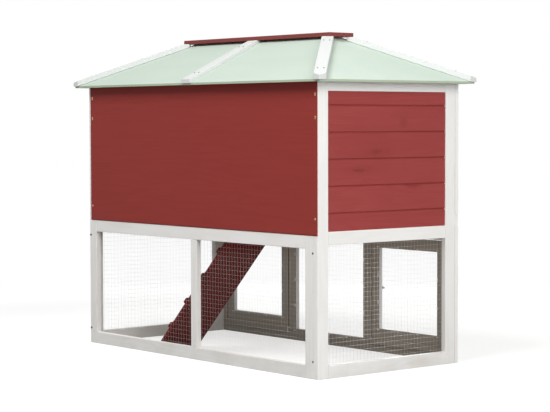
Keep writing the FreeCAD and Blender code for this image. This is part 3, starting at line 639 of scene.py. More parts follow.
def ease_edges(bm: BMesh, edges: Iterable[BMEdge], width: float, segments: int = 2) -> None:
    """Rounds edges.

    Args:
        bm: The mesh that holds them.
        edges: The edges to round.
        width: Distance from the edge to where the rounding starts.
        segments: Number of facets.
    """
    bmesh.ops.bevel(bm, geom=list(edges), offset=width, offset_type="OFFSET", affect="EDGES",
                    segments=segments, profile=0.5, material=-1, clamp_overlap=True)


def sharp_edges(bm: BMesh, least: float = 20.0) -> list[BMEdge]:
    """Finds the edges where two faces meet at an angle.

    Args:
        bm: The mesh to look at.
        least: The smallest angle that counts, in degrees.

    Returns:
        The sharp edges.
    """
    return [e for e in bm.edges if len(e.link_faces) == 2 and e.calc_face_angle(0.0) > math.radians(least)]


def node_copy(node: str) -> BMesh:
    """Copies a CAD node's mesh, joined up and with its flat faces whole.

    Args:
        node: The node's name.

    Returns:
        The copy.
    """
    bm = bmesh.new()
    bm.from_mesh(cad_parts[node].data)
    bmesh.ops.remove_doubles(bm, verts=bm.verts, dist=WELD)
    bmesh.ops.dissolve_limit(bm, angle_limit=FLATNESS, verts=bm.verts, edges=bm.edges)
    return bm


def put_in_scene(name: str, data: ID) -> Object:
    """Makes an object of a mesh, a lamp or a camera.

    Args:
        name: The object's name.
        data: What it shows.

    Returns:
        The new object.
    """
    made = bpy.data.objects.new(name, data)
    bpy.context.scene.collection.objects.link(made)
    return made


def show(bm: BMesh, name: str, body: str, finishes: Sequence[Material],
         stands_for: Sequence[str] = (), smooth: bool = False) -> None:
    """Makes a finished piece of a mesh.

    Args:
        bm: The mesh, which is used up.
        name: The piece's name.
        body: The CAD body it rides on.
        finishes: Its materials, in order.
        stands_for: CAD nodes that it replaces.
        smooth: Whether its faces are shaded smooth.
    """
    mesh = bpy.data.meshes.new(name)
    if smooth:
        for face in bm.faces:
            face.smooth = True
    bm.to_mesh(mesh)
    bm.free()
    for finish in finishes:
        mesh.materials.append(finish)
    piece = put_in_scene(name, mesh)
    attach(piece, body)
    if stands_for:
        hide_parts(*stands_for)
    LOG.info("%s: %d faces on %s", name, len(mesh.polygons), body)


@dataclass(frozen=True)
class Bar:
    """A squared length of timber between two corners."""

    low: Triple
    high: Triple
    along: Axis
    under_roof: bool = False

    @classmethod
    def between(cls, x: Span, y: Span, z: Span, along: Axis, under_roof: bool = False) -> "Bar":
        """Makes a bar from where it starts and ends along each axis."""
        return cls((x[0], y[0], z[0]), (x[1], y[1], z[1]), along, under_roof)


@dataclass
class Timbers:
    """Wooden pieces gathered in one mesh, each with a stretch of grain of its own."""

    name: str
    ease: float = 0.0012
    bm: BMesh = field(default_factory=bmesh.new)
    grain_shift: float = 9.0

    def __post_init__(self) -> None:
        """Adds the layers that the finishes read."""
        vectors = self.bm.verts.layers.float_vector
        for layer in ("grain", "reach", "half"):
            vectors.new(layer)
        self.bm.verts.layers.float.new("tone")
        self.random = random.Random(self.name)
        self.settled: set[BMVert] = set()

    def fresh(self) -> list[BMVert]:
        """Gives the vertices that have no grain yet."""
        return [v for v in self.bm.verts if v not in self.settled]

    def settle(self, along: Vector, up: Vector) -> None:
        """Gives the newest piece its own grain, reach and tone.

        Args:
            along: Direction of its grain.
            up: A direction square to the grain.
        """
        verts = self.fresh()
        turn = Matrix((along, up, along.cross(up)))
        turned = [turn @ v.co for v in verts]
        low, high = corners_of(turned)
        middle, half = (low + high) / 2, (high - low) / 2
        shift = Vector(self.random.uniform(-self.grain_shift, self.grain_shift) for _ in range(3))
        tone = self.random.random()
        vectors = self.bm.verts.layers.float_vector
        grain, reach, size = (vectors[layer] for layer in ("grain", "reach", "half"))
        shade = self.bm.verts.layers.float["tone"]
        for vert, place in zip(verts, turned):
            vert[grain] = place - middle + shift
            vert[reach] = place - middle
            vert[size] = half
            vert[shade] = tone
        self.settled.update(verts)

    def add_bar(self, bar: Bar) -> None:
        """Adds a bar with eased edges.

        Args:
            bar: Its corners and the run of its grain.
        """
        add_box(self.bm, bar.low, bar.high)
        if bar.under_roof:
            ROOF_LINE.trim(self.bm, self.fresh())
        ease_edges(self.bm, {e for v in self.fresh() for e in v.link_edges}, self.ease)
        up = Axis.Z if bar.along is not Axis.Z else Axis.X
        self.settle(bar.along.vector, up.vector)

    def add_notched_post(self, bar: Bar, notch: Span) -> None:
        """Adds a post that steps in below a height, on its side toward the back.

        Args:
            bar: The whole post.
            notch: Where its lower part ends, and the height of the step.
        """
        (low_x, front, foot), (high_x, back, top) = bar.low, bar.high
        outline = ((front, foot), (notch[0], foot), notch, (back, notch[1]), (back, top), (front, top))
        add_prism(self.bm, [(low_x, y, z) for y, z in outline], Axis.X.vector * (high_x - low_x))
        ROOF_LINE.trim(self.bm, self.fresh())
        ease_edges(self.bm, {e for v in self.fresh() for e in v.link_edges}, self.ease)
        self.settle(bar.along.vector, Axis.X.vector)

    def add_copy(self, source: BMesh, along: Vector, up: Vector) -> None:
        """Adds a piece that was shaped apart.

        Args:
            source: The piece, which is used up.
            along: Direction of its grain.
            up: A direction square to the grain.
        """
        ease_edges(source, sharp_edges(source), self.ease)
        mesh = bpy.data.meshes.new("loose_piece")
        source.to_mesh(mesh)
        source.free()
        self.bm.from_mesh(mesh)
        bpy.data.meshes.remove(mesh)
        self.settle(along, up)

    def mark(self, number: int, is_wanted: Callable[[BMFace], bool]) -> None:
        """Gives some of the faces another finish.

        Args:
            number: The finish, counted from the piece's main one.
            is_wanted: A test of a face.
        """
        self.bm.normal_update()
        for face in self.bm.faces:
            if is_wanted(face):
                face.material_index = number

    def show(self, finish: Material, slot: str, body: str, *stands_for: str,
             others: Sequence[Material] = ()) -> None:
        """Finishes the piece.

        Args:
            finish: Its main material.
            body: The CAD body it rides on.
            stands_for: CAD nodes that it replaces.
            others: The materials of the faces that are marked.
        """
        show(self.bm, self.name, body, [finish, *others], stands_for)


def is_along(way: Vector, axis: int, least: float = 0.9) -> bool:
    """Tells whether a direction runs along an axis, either way."""
    return abs(way[axis]) > least


def faces_back(face: BMFace, least: float = 0.5) -> bool:
    """Tells whether a face looks to the back."""
    return face.normal.y > least


@dataclass(frozen=True)
class RoofLine:
    """The underside of the roof sheets."""

    eave_x: float = 0.571
    eave_y: float = 0.2875
    eave_z: float = 0.7835
    pitch: float = math.radians(25.4)
    touch: float = 1e-6

    def planes(self) -> list[tuple[Vector, Vector]]:
        """Gives a point and the upward normal of each slope."""
        rise = math.tan(self.pitch)
        ways = ((1, 0, self.eave_x), (-1, 0, self.eave_x), (0, 1, self.eave_y), (0, -1, self.eave_y))
        return [(Vector((x * eave, y * eave, self.eave_z)), Vector((x * rise, y * rise, 1.0)).normalized())
                for x, y, eave in ways]

    def trim(self, bm: BMesh, verts: list[BMVert]) -> None:
        """Cuts off what stands above the slopes.

        Args:
            bm: The mesh that holds the piece.
            verts: The piece's vertices.
        """
        kept = set(bm.verts) - set(verts)
        for point, normal in self.planes():
            geom = [v for v in bm.verts if v not in kept]
            geom += [e for e in bm.edges if e.verts[0] not in kept]
            geom += [f for f in bm.faces if f.verts[0] not in kept]
            cut = bmesh.ops.bisect_plane(bm, geom=geom, dist=self.touch, plane_co=point, plane_no=normal,
                                         clear_outer=True)
            rim = [e for e in cut["geom_cut"] if isinstance(e, BMEdge) and e.is_boundary]
            if rim:
                bmesh.ops.contextual_create(bm, geom=rim)


ROOF_LINE = RoofLine()


@dataclass(frozen=True)
class Finishes:
    """All the materials, each made once."""

    white: Material
    lath: Material
    primer: Material
    raw_edge: Material
    board: Material
    panel: Material
    trim: Material
    ramp: Material
    pine: Material
    pine_across: Material
    mint: Material
    mint_edge: Material
    wire: Material
    zinc: Material
    tray: Material
    dark_screw: Material
    yellow_screw: Material


def make_finishes() -> Finishes:
    """Makes every finish.

    Returns:
        The materials.
    """
    return Finishes(*(finish.material() for finish in (
        WHITE_PAINT, LATH_PAINT_SHADED, PRIMER_AND_SHADE, RAW_EDGE_AND_GAP_SHADE, RED_BOARD, RED_PANEL, RED_TRIM, RAMP_STAIN_SHADED,
        BARE_PINE, BARE_PINE_ACROSS, MINT_COAT, MINT_EDGE_SHADE, MESH_ZINC, HARDWARE_ZINC, TRAY_ZINC,
        DARK_SCREW, YELLOW_SCREW)))


# Boards

@dataclass(frozen=True)
class Boarding:
    """Tongued boards laid one on another between two heights."""

    bottom: float
    top: float
    first: float = 0.047
    pitch: float = 0.0715
    smallest: float = 0.015
    thick: float = 0.010
    chamfer: float = 0.0034
    tongue: float = 0.003
    tongue_height: float = 0.004
    play: float = 0.0002

    def edges(self) -> list[float]:
        """Gives the heights of the joints, with both ends."""
        heights = [self.bottom]
        height = self.bottom + self.first
        while height < self.top - self.smallest:
            heights.append(height)
            height += self.pitch
        return [*heights, self.top]

    def outline(self, low: float, high: float) -> list[Span]:
        """Draws the end of one board.

        Args:
            low: Its bottom.
            high: Its top, without the tongue.

        Returns:
            Depth behind the face and height, round the board.
        """
        start = (self.thick - self.tongue) / 2
        end = start + self.tongue
        points = [(self.thick, low)]
        if low > self.bottom:
            roof = low + self.tongue_height + self.play
            near, far = start - self.play, end + self.play
            points += [(far, low), (far, roof), (near, roof), (near, low), (self.chamfer, low),
                       (0.0, low + self.chamfer)]
        else:
            points += [(0.0, low)]
        if high < self.top:
            points += [(0.0, high - self.chamfer), (self.chamfer, high), (start, high),
                       (start, high + self.tongue_height), (end, high + self.tongue_height), (end, high)]
        else:
            points += [(0.0, high)]
        return [*points, (self.thick, high)]

    def lay(self, timbers: Timbers, origin: Vector, inward: Vector, along: Vector, length: float) -> None:
        """Adds the boards to a mesh.

        Args:
            timbers: The mesh that gets them.
            origin: A point on the outer face at one end, at height 0.
            inward: Direction from the face into the boards.
            along: Direction of their length.
            length: Their length.
        """
        heights = self.edges()
        up = Axis.Z.vector
        for low, high in zip(heights, heights[1:]):
            end = [origin + inward * depth + up * height for depth, height in self.outline(low, high)]
            add_prism(timbers.bm, end, along * length)
            timbers.settle(along, up)


# Welded mesh

@dataclass(frozen=True)
class WireNet:
    """Welded square mesh stapled to the inside of a frame."""

    name: str
    node: str
    body: str
    spans: tuple[Span, ...]
    across: Axis
    inward: float
    radius: float = 0.00011
    pitch: float = 0.0127
    sides: int = 6
    weld: float = 0.1
    staple_pitch: float = 0.075
    staple_margin: float = 0.004
    staple_length: float = 0.010
    staple_breadth: float = 0.0014
    staple_depth: Span = (-0.001, 0.0024)
    staple_ease: float = 0.0003

    def build(self, finishes: Finishes) -> None:
        """Makes the wires and the staples of every panel of the net.

        Args:
            finishes: The materials.
        """
        low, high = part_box(self.node)
        through = 1 if self.across is Axis.X else 0
        face = low[through] if self.inward > 0 else high[through]
        bm = bmesh.new()
        for start, end in self.spans:
            self.add_panel(bm, (start, end), (low.z, high.z), face)
        show(bm, self.name, self.body, [finishes.wire], [self.node], smooth=True)

    def place(self, along: float, depth: float, height: float, face: float) -> Vector:
        """Turns a place on the net into one in the frame.

        Args:
            along: Distance along the net.
            depth: Distance inward from the frame's inner face.
            height: Height.
            face: Where that face is.

        Returns:
            The place.
        """
        inside = face + self.inward * depth
        return Vector((along, inside, height)) if self.across is Axis.X else Vector((inside, along, height))

    def add_wire(self, bm: BMesh, start: Vector, end: Vector) -> None:
        """Adds one straight wire.

        Args:
            bm: The mesh that gets it.
            start: One end of its middle line.
            end: The other end.
        """
        run = end - start
        turn = run.to_track_quat("Z", "Y").to_matrix().to_4x4()
        place = Matrix.Translation((start + end) / 2) @ turn
        bmesh.ops.create_cone(bm, cap_ends=True, segments=self.sides, radius1=self.radius,
                              radius2=self.radius, depth=run.length, matrix=place)

    def add_panel(self, bm: BMesh, span: Span, rise: Span, face: float) -> None:
        """Adds the wires and staples of one panel.

        Args:
            bm: The mesh that gets them.
            span: Where the panel starts and ends.
            rise: Its bottom and top.
            face: Where the frame's inner face is.
        """
        first, second = self.radius, self.radius * (3.0 - self.weld)
        columns = round((span[1] - span[0] - 2 * self.radius) / self.pitch)
        rows = round((rise[1] - rise[0] - 2 * self.radius) / self.pitch)
        for column in range(columns + 1):
            at = span[0] + self.radius + column * (span[1] - span[0] - 2 * self.radius) / columns
            self.add_wire(bm, self.place(at, first, rise[0], face), self.place(at, first, rise[1], face))
        for row in range(rows + 1):
            at = rise[0] + self.radius + row * (rise[1] - rise[0] - 2 * self.radius) / rows
            self.add_wire(bm, self.place(span[0], second, at, face), self.place(span[1], second, at, face))
        self.add_staples(bm, span, rise, face)

    def add_staples(self, bm: BMesh, span: Span, rise: Span, face: float) -> None:
        """Adds flat staples over the edge wires.

        Args:
            bm: The mesh that gets them.
            span: Where the panel starts and ends.
            rise: Its bottom and top.
            face: Where the frame's inner face is.
        """
        margin, half, broad = self.staple_margin, self.staple_length / 2, self.staple_breadth / 2
        spots: list[tuple[float, float, bool]] = []
        count = max(2, round((span[1] - span[0]) / self.staple_pitch))
        for step in range(count + 1):
            at = span[0] + margin + step * (span[1] - span[0] - 2 * margin) / count
            spots += [(at, height, True) for height in (rise[0] + margin, rise[1] - margin)]
        count = max(2, round((rise[1] - rise[0]) / self.staple_pitch))
        for step in range(1, count):
            height = rise[0] + margin + step * (rise[1] - rise[0] - 2 * margin) / count
            spots += [(at, height, False) for at in (span[0] + margin, span[1] - margin)]
        for at, height, lies_along in spots:
            wide, tall = (half, broad) if lies_along else (broad, half)
            corners = [self.place(at + way * wide, depth, height + way * tall, face)
                       for way, depth in zip((-1, 1), self.staple_depth)]
            verts = add_box(bm, *corners_of(corners))
            ease_edges(bm, {e for v in verts for e in v.link_edges}, self.staple_ease, 1)


# Screws

@dataclass(frozen=True)
class ScrewHead:
    """A flat round head with a cross recess."""

    radius: float = 0.003
    height: float = 0.0008
    recess: float = 0.0006
    arm: float = 0.00055
    reach: float = 0.0019
    rim: float = 0.6
    crown: float = 0.86
    taper: float = 0.75

    def add(self, bm: BMesh, foot: Vector, out: Vector, turn: float, material: int = 0) -> None:
        """Adds one head.

        Args:
            bm: The mesh that gets it.
            foot: The middle of its underside.
            out: Direction that the head faces.
            turn: How far the cross is turned, in radians.
            material: Number of its material.
        """
        a, r = self.arm, self.reach
        cross = [Vector(corner) for corner in (
            (a, a), (a, r), (-a, r), (-a, a), (-r, a), (-r, -a), (-a, -a), (-a, -r), (a, -r), (a, -a),
            (r, -a), (r, a))]
        circle = [corner.normalized() * self.radius for corner in cross]
        place = (Matrix.Translation(foot) @ out.to_track_quat("Z", "Y").to_matrix().to_4x4()
                 @ Matrix.Rotation(turn, 4, "Z"))
        before = set(bm.faces)
        rings = []
        for outline, height in (
                (circle, 0.0), (circle, self.height * self.rim),
                ([p * self.crown for p in circle], self.height), (cross, self.height),
                ([p * self.taper for p in cross], self.height - self.recess)):
            verts = [bm.verts.new(place @ Vector((x, y, height))) for x, y in outline]
            rings.append([bm.edges.new((verts[i - 1], verts[i])) for i in range(len(verts))])
        for lower, upper in zip(rings, rings[1:]):
            bmesh.ops.bridge_loops(bm, edges=lower + upper)
        bmesh.ops.contextual_create(bm, geom=rings[0])
        bmesh.ops.contextual_create(bm, geom=rings[-1])
        made = [f for f in bm.faces if f not in before]
        bmesh.ops.recalc_face_normals(bm, faces=made)
        for face in made:
            face.material_index = material


# Sub-assemblies

@dataclass
class EndWall:
    """One end: a painted frame, red boards above and mesh below."""

    side: Side
    post: float = 0.037
    rail: float = 0.035
    floor: float = 0.389
    top_rail: float = 0.760
    board_recess: float = 0.003
    net_lap: float = 0.008
    net_wire: float = 0.00019

    @property
    def label(self) -> str:
        """The word that its nodes start with."""
        return self.side.name.lower()

    def build(self, finishes: Finishes) -> None:
        """Makes the frame, the boards and the mesh.

        Args:
            finishes: The materials.
        """
        low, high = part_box(self.label + "_end_frame")
        front, back = low.y + self.post, high.y - self.post
        thick, inside, tall = (low.x, high.x), (front, back), (0.0, CAD_BOX[1].z)
        timbers = Timbers(self.label + "_end_timbers")
        back_post = Bar.between(thick, (back, high.y), tall, Axis.Z, True)
        if self.side is Side.RIGHT:
            lap_low, lap_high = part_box("back_frame")
            timbers.add_notched_post(back_post, (lap_low.y, lap_high.z))
        else:
            timbers.add_bar(back_post)
        for y, z, along, under in (
                ((low.y, front), tall, Axis.Z, True), (inside, (0.0, self.rail), Axis.Y, False),
                (inside, (self.floor - self.rail, self.floor), Axis.Y, False),
                (inside, (self.top_rail, tall[1]), Axis.Y, True)):
            timbers.add_bar(Bar.between(thick, y, z, along, under))
        timbers.show(finishes.white, "white_wood", "hutch", self.label + "_end_frame")

        face = high.x if self.side is Side.RIGHT else low.x
        boards = Timbers(self.label + "_end_cladding")
        Boarding(self.floor, self.top_rail).lay(
            boards, Vector((face - self.side.value * self.board_recess, front, 0.0)),
            Vector((-self.side.value, 0.0, 0.0)), Axis.Y.vector, back - front)
        boards.show(finishes.board, "red_boards", "hutch", self.label + "_end_boards")

        spans = ((front - self.net_lap, back + self.net_lap),)
        WireNet(self.label + "_end_wires", self.label + "_end_mesh", "hutch", spans, Axis.Y, -self.side.value,
                self.net_wire).build(finishes)


@dataclass
class BackWall:
    """The red back panel over a painted frame with two mesh bays."""

    member: float = 0.035
    middle: Span = (-0.008, 0.0195)
    net_lap: float = 0.008
    panel_ease: float = 0.0002
    screw_room: float = 0.02
    screw_seed: int = 4

    def build(self, finishes: Finishes) -> None:
        """Makes the frame, the panel, the mesh and the screws.

        Args:
            finishes: The materials.
        """
        low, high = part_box("back_frame")
        start, end = low.x + self.member, high.x - self.member
        head = high.z - self.member
        timbers = Timbers("back_timbers")
        for x, z, along in (
                ((low.x, start), (0.0, high.z), Axis.Z), ((end, high.x), (0.0, high.z), Axis.Z),
                (self.middle, (self.member, head), Axis.Z), ((start, end), (0.0, self.member), Axis.X),
                ((start, end), (head, high.z), Axis.X)):
            timbers.add_bar(Bar.between(x, (low.y, high.y), z, along))
        timbers.show(finishes.white, "white_wood", "hutch", "back_frame")

        panel = node_copy("back_panel")
        ease_edges(panel, sharp_edges(panel), self.panel_ease)
        show(panel, "back_sheet", "hutch", [finishes.panel], ["back_panel"])

        spans = ((start - self.net_lap, self.middle[0] + self.net_lap),
                 (self.middle[1] - self.net_lap, end + self.net_lap))
        WireNet("back_wires", "back_mesh", "hutch", spans, Axis.X, -1.0).build(finishes)
        self.add_screws(finishes)

    def add_screws(self, finishes: Finishes) -> None:
        """Makes the screw heads where the CAD has them: yellow ones in the panel, dark ones in the frame.

        Args:
            finishes: The materials.
        """
        source = node_copy("back_screws")
        spots = {}
        for vert in source.verts:
            key = (round(vert.co.x / self.screw_room), round(vert.co.z / self.screw_room))
            spots.setdefault(key, []).append(vert.co.copy())
        source.free()
        turner = random.Random(self.screw_seed)
        bm = bmesh.new()
        panel_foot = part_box("back_panel")[0].z
        for points in spots.values():
            low, high = corners_of(points)
            foot = Vector(((low.x + high.x) / 2, low.y, (low.z + high.z) / 2))
            in_panel = foot.z > panel_foot
            ScrewHead().add(bm, foot, Axis.Y.vector, turner.uniform(0.0, SCREW_TURN), 0 if in_panel else 1)
        show(bm, "back_screw_heads", "hutch", [finishes.yellow_screw, finishes.dark_screw],
             ["back_screws"])


@dataclass
class FrontWall:
    """The two painted front frames, with a fixed mesh bay in the middle of each."""

    stile: float = 0.035
    middle: float = 0.1535
    lower_sill: float = 0.035
    lower_head: float = 0.344
    upper_sill: float = 0.456
    upper_head: float = 0.760
    net_lap: float = 0.008
    stop_depth: float = 0.006
    stop_rise: float = 0.006
    stop_drop: float = 0.012

    def build(self, finishes: Finishes) -> None:
        """Makes both frames and their meshes.

        Args:
            finishes: The materials.
        """
        for level, sill, head in (("lower", self.lower_sill, self.lower_head),
                                  ("upper", self.upper_sill, self.upper_head)):
            node = "front_" + level + "_frame"
            low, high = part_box(node)
            inner = high.x - self.stile
            is_upper = level == "upper"
            top = CAD_BOX[1].z if is_upper else high.z - SEAM
            timbers = Timbers("front_" + level + "_timbers")
            for x, z, along, under in (
                    ((low.x, -inner), (low.z, top), Axis.Z, is_upper),
                    ((inner, high.x), (low.z, top), Axis.Z, is_upper),
                    ((-self.middle - self.stile, -self.middle), (sill, head), Axis.Z, False),
                    ((self.middle, self.middle + self.stile), (sill, head), Axis.Z, False),
                    ((-inner, inner), (low.z, sill), Axis.X, False),
                    ((-inner, inner), (head, top), Axis.X, is_upper)):
                timbers.add_bar(Bar.between(x, (low.y, high.y), z, along, under))
            bays = (self.middle + self.stile, inner)
            if not is_upper:
                self.add_stops(timbers, bays, sill, high.y)
            # Inner faces and stops get the dark primer coat, which is partly painted shade.
            timbers.mark(1, lambda face: faces_back(face) or face.calc_center_median().y > high.y)
            # The faces round the door gaps get the bare edge finish, darkened as painted shade in the gaps.
            timbers.mark(2, lambda face: self.is_by_door(face, bays, (sill, head)))
            timbers.show(finishes.white, "white_wood", "hutch", node,
                         others=(finishes.primer, finishes.raw_edge))
            reach = self.middle + self.net_lap
            WireNet("front_" + level + "_wires", "front_" + level + "_mesh", "hutch", ((-reach, reach),),
                    Axis.X, 1.0).build(finishes)

    def add_stops(self, timbers: Timbers, bays: Span, sill: float, face: float) -> None:
        """Adds the beads on the sill that the doors shut against.

        Args:
            timbers: The mesh that gets them.
            bays: Where the door bays start and end, from the middle.
            sill: Height of the sill's top.
            face: Where the frame's inner face is.
        """
        for side in Side:
            start, end = sorted(side.value * x for x in bays)
            timbers.add_bar(Bar.between((start, end), (face, face + self.stop_depth),
                                        (sill - self.stop_drop, sill + self.stop_rise), Axis.X))

    def is_by_door(self, face: BMFace, bays: Span, rise: Span) -> bool:
        """Tells whether a face bounds the gap round a door.

        Args:
            face: A face of the frame.
            bays: Where the door bays start and end, from the middle.
            rise: Their bottom and top.

        Returns:
            True for the edges of the members round the door.
        """
        place, way = face.calc_center_median(), face.normal
        if is_along(way, 0):
            is_beside = min(abs(abs(place.x) - x) for x in bays) < SEAM
            return is_beside and rise[0] - SEAM < place.z < rise[1] + SEAM
        return is_along(way, 2) and min(abs(place.z - z) for z in rise) < SEAM


@dataclass
class Door:
    """A hinged front door: its frame, its filling and the screws of its hinges and bolt."""

    name: str
    is_boarded: bool = False
    member: float = 0.033
    board_recess: float = 0.003
    net_lap: float = 0.008
    leaf_inset: float = 0.0115
    leaf_height: float = 0.040
    leaf_screws: tuple[float, ...] = (-0.014, 0.0, 0.014)
    plate_margin: Span = (0.008, 0.0035)
    plate_thick: float = 0.0012
    screw: ScrewHead = ScrewHead(0.0024, 0.0006, 0.0005, 0.0004, 0.0015)

    @property
    def body(self) -> str:
        """The CAD body of the door."""
        return self.name + "_door"

    def build(self, finishes: Finishes) -> None:
        """Makes the frame, the filling and the screws.

        Args:
            finishes: The materials.
        """
        low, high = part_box(self.body + "_frame")
        width = (low.x + self.member, high.x - self.member)
        height = (low.z + self.member, high.z - self.member)
        timbers = Timbers(self.body + "_timbers")
        for x, z, along in (
                ((low.x, width[0]), (low.z, high.z), Axis.Z), ((width[1], high.x), (low.z, high.z), Axis.Z),
                (width, (low.z, height[0]), Axis.X), (width, (height[1], high.z), Axis.X)):
            timbers.add_bar(Bar.between(x, (low.y, high.y), z, along))
        # Inner faces get the dark primer coat, which is partly painted shade.
        timbers.mark(1, faces_back)
        # The door's rim gets the bare edge finish, darkened as painted shade in the gaps.
        timbers.mark(2, lambda face: self.is_outer_edge(face, low, high))
        timbers.show(finishes.white, "white_wood", self.body, self.body + "_frame",
                     others=(finishes.primer, finishes.raw_edge))
        if self.is_boarded:
            boards = Timbers(self.body + "_cladding")
            Boarding(*height).lay(boards, Vector((width[0], low.y + self.board_recess, 0.0)), Axis.Y.vector,
                                  Axis.X.vector, width[1] - width[0])
            boards.show(finishes.board, "red_boards", self.body, self.body + "_infill")
        else:
            span = (width[0] - self.net_lap, width[1] + self.net_lap)
            net = WireNet(self.body + "_wires", self.body + "_infill", self.body, (span,), Axis.X, 1.0)
            net.build(finishes)
        self.add_screws(finishes, low.y)

    def is_outer_edge(self, face: BMFace, low: Vector, high: Vector) -> bool:
        """Tells whether a face is on the door's rim.

        Args:
            face: A face of the door's frame.
            low: The frame's lowest corner.
            high: Its highest corner.

        Returns:
            True for the faces toward the gap.
        """
        place, way = face.calc_center_median(), face.normal
        return any(is_along(way, i) and min(place[i] - low[i], high[i] - place[i]) < SEAM for i in (0, 2))

    def add_screws(self, finishes: Finishes, face: float) -> None:
        """Makes the screws of the moving leaves and of the bolt's plate.

        Args:
            finishes: The materials.
            face: Where the door's outer face is.
        """
        turner = random.Random(self.name)
        bm = bmesh.new()
        low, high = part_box(self.body + "_leaves")
        at = high.x - self.leaf_inset if low.x < 0.0 else low.x + self.leaf_inset
        half = self.leaf_height / 2
        spots = [(at, middle + step) for middle in (low.z + half, high.z - half) for step in self.leaf_screws]
        low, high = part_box(self.name + "_bolt_base")
        in_x, in_z = self.plate_margin
        spots += [(x, z) for x in (low.x + in_x, high.x - in_x) for z in (low.z + in_z, high.z - in_z)]
        for x, z in spots:
            foot = Vector((x, face - self.plate_thick, z))
            self.screw.add(bm, foot, -Axis.Y.vector, turner.uniform(0.0, SCREW_TURN))
        show(bm, self.body + "_screws", self.body, [finishes.zinc])


@dataclass
class Roof:
    """Mint sheets under white battens and a red ridge cap."""

    sheet_ease: float = 0.0006
    edge_lean: float = 0.5
    batten_ease: float = 0.0011

    def build(self, finishes: Finishes) -> None:
        """Makes the sheets, the battens and the cap.

        Args:
            finishes: The materials.
        """
        for side in ("left", "right"):
            for slope in ("back", "front", "end"):
                node = "roof_sheet_" + slope + "_" + side
                sheet = node_copy(node)
                ease_edges(sheet, sharp_edges(sheet), self.sheet_ease)
                # Near-upright faces, which are the sheet edges, get the darker mint as painted shade.
                for face in sheet.faces:
                    face.material_index = int(abs(face.normal.z) < self.edge_lean)
                show(sheet, slope + "_" + side + "_roofing", "hutch", [finishes.mint, finishes.mint_edge],
                     [node])
        self.add_battens(finishes)
        cap = Timbers("ridge_plank", ease=self.batten_ease)
        cap.add_copy(node_copy("ridge_cap"), Axis.X.vector, Axis.Z.vector)
        cap.show(finishes.trim, "red_trim", "hutch", "ridge_cap")

    def add_battens(self, finishes: Finishes) -> None:
        """Makes the six battens.

        Args:
            finishes: The materials.
        """
        rise = math.tan(ROOF_LINE.pitch)
        hips = Timbers("hip_laths", ease=self.batten_ease)
        seams = Timbers("seam_laths", ease=self.batten_ease)
        for way in (-1, 1):
            along = Vector((0.0, way, -rise)).normalized()
            seams.add_copy(part_of("seam_battens", lambda p: p.y * way > 0), along, Axis.X.vector)
            for side in (-1, 1):
                along = Vector((side, way, -rise)).normalized()
                level = Vector((-way, side, 0.0)).normalized()
                batten = part_of("hip_battens", lambda p: p.y * way > 0 and p.x * side > 0)
                hips.add_copy(batten, along, level)
        # The laths wear the white paint written darker, as painted shade.
        hips.show(finishes.lath, "white_wood", "hutch", "hip_battens")
        seams.show(finishes.lath, "white_wood", "hutch", "seam_battens")


def part_of(node: str, is_wanted: Callable[[Vector], bool]) -> BMesh:
    """Copies some of a CAD node's separate solids.

    Args:
        node: The node's name.
        is_wanted: A test of a vertex's place.

    Returns:
        The copy.
    """
    bm = node_copy(node)
    bmesh.ops.delete(bm, geom=[v for v in bm.verts if not is_wanted(v.co)], context="VERTS")
    return bm


@dataclass
class Ramp:
    """The hinged ramp with its cleats."""

    angle: float = math.radians(45.0)
    cleat_levels: int = 4
    slack: float = 1e-4

    def build(self, finishes: Finishes) -> None:
        """Makes the board and the cleats.

        Args:
            finishes: The materials.
        """
        down = Vector((math.cos(self.angle), 0.0, -math.sin(self.angle)))
        board = Timbers("ramp_plank")
        board.add_copy(node_copy("ramp_board"), down, Axis.Y.vector)
        # The ramp's stain is written darker, as painted shade.
        board.show(finishes.ramp, "red_trim", "ramp", "ramp_board")
        cleats = Timbers("ramp_treads")
        source = node_copy("ramp_cleats")
        heights = sorted({round(v.co.z, 4) for v in source.verts})
        source.free()
        for first in range(0, len(heights), self.cleat_levels):
            levels = heights[first:first + self.cleat_levels]
            low, high = levels[0] - self.slack, levels[-1] + self.slack
            cleats.add_copy(part_of("ramp_cleats", lambda p: low < p.z < high), Axis.Y.vector, down)
        cleats.show(finishes.ramp, "red_trim", "ramp", "ramp_cleats")


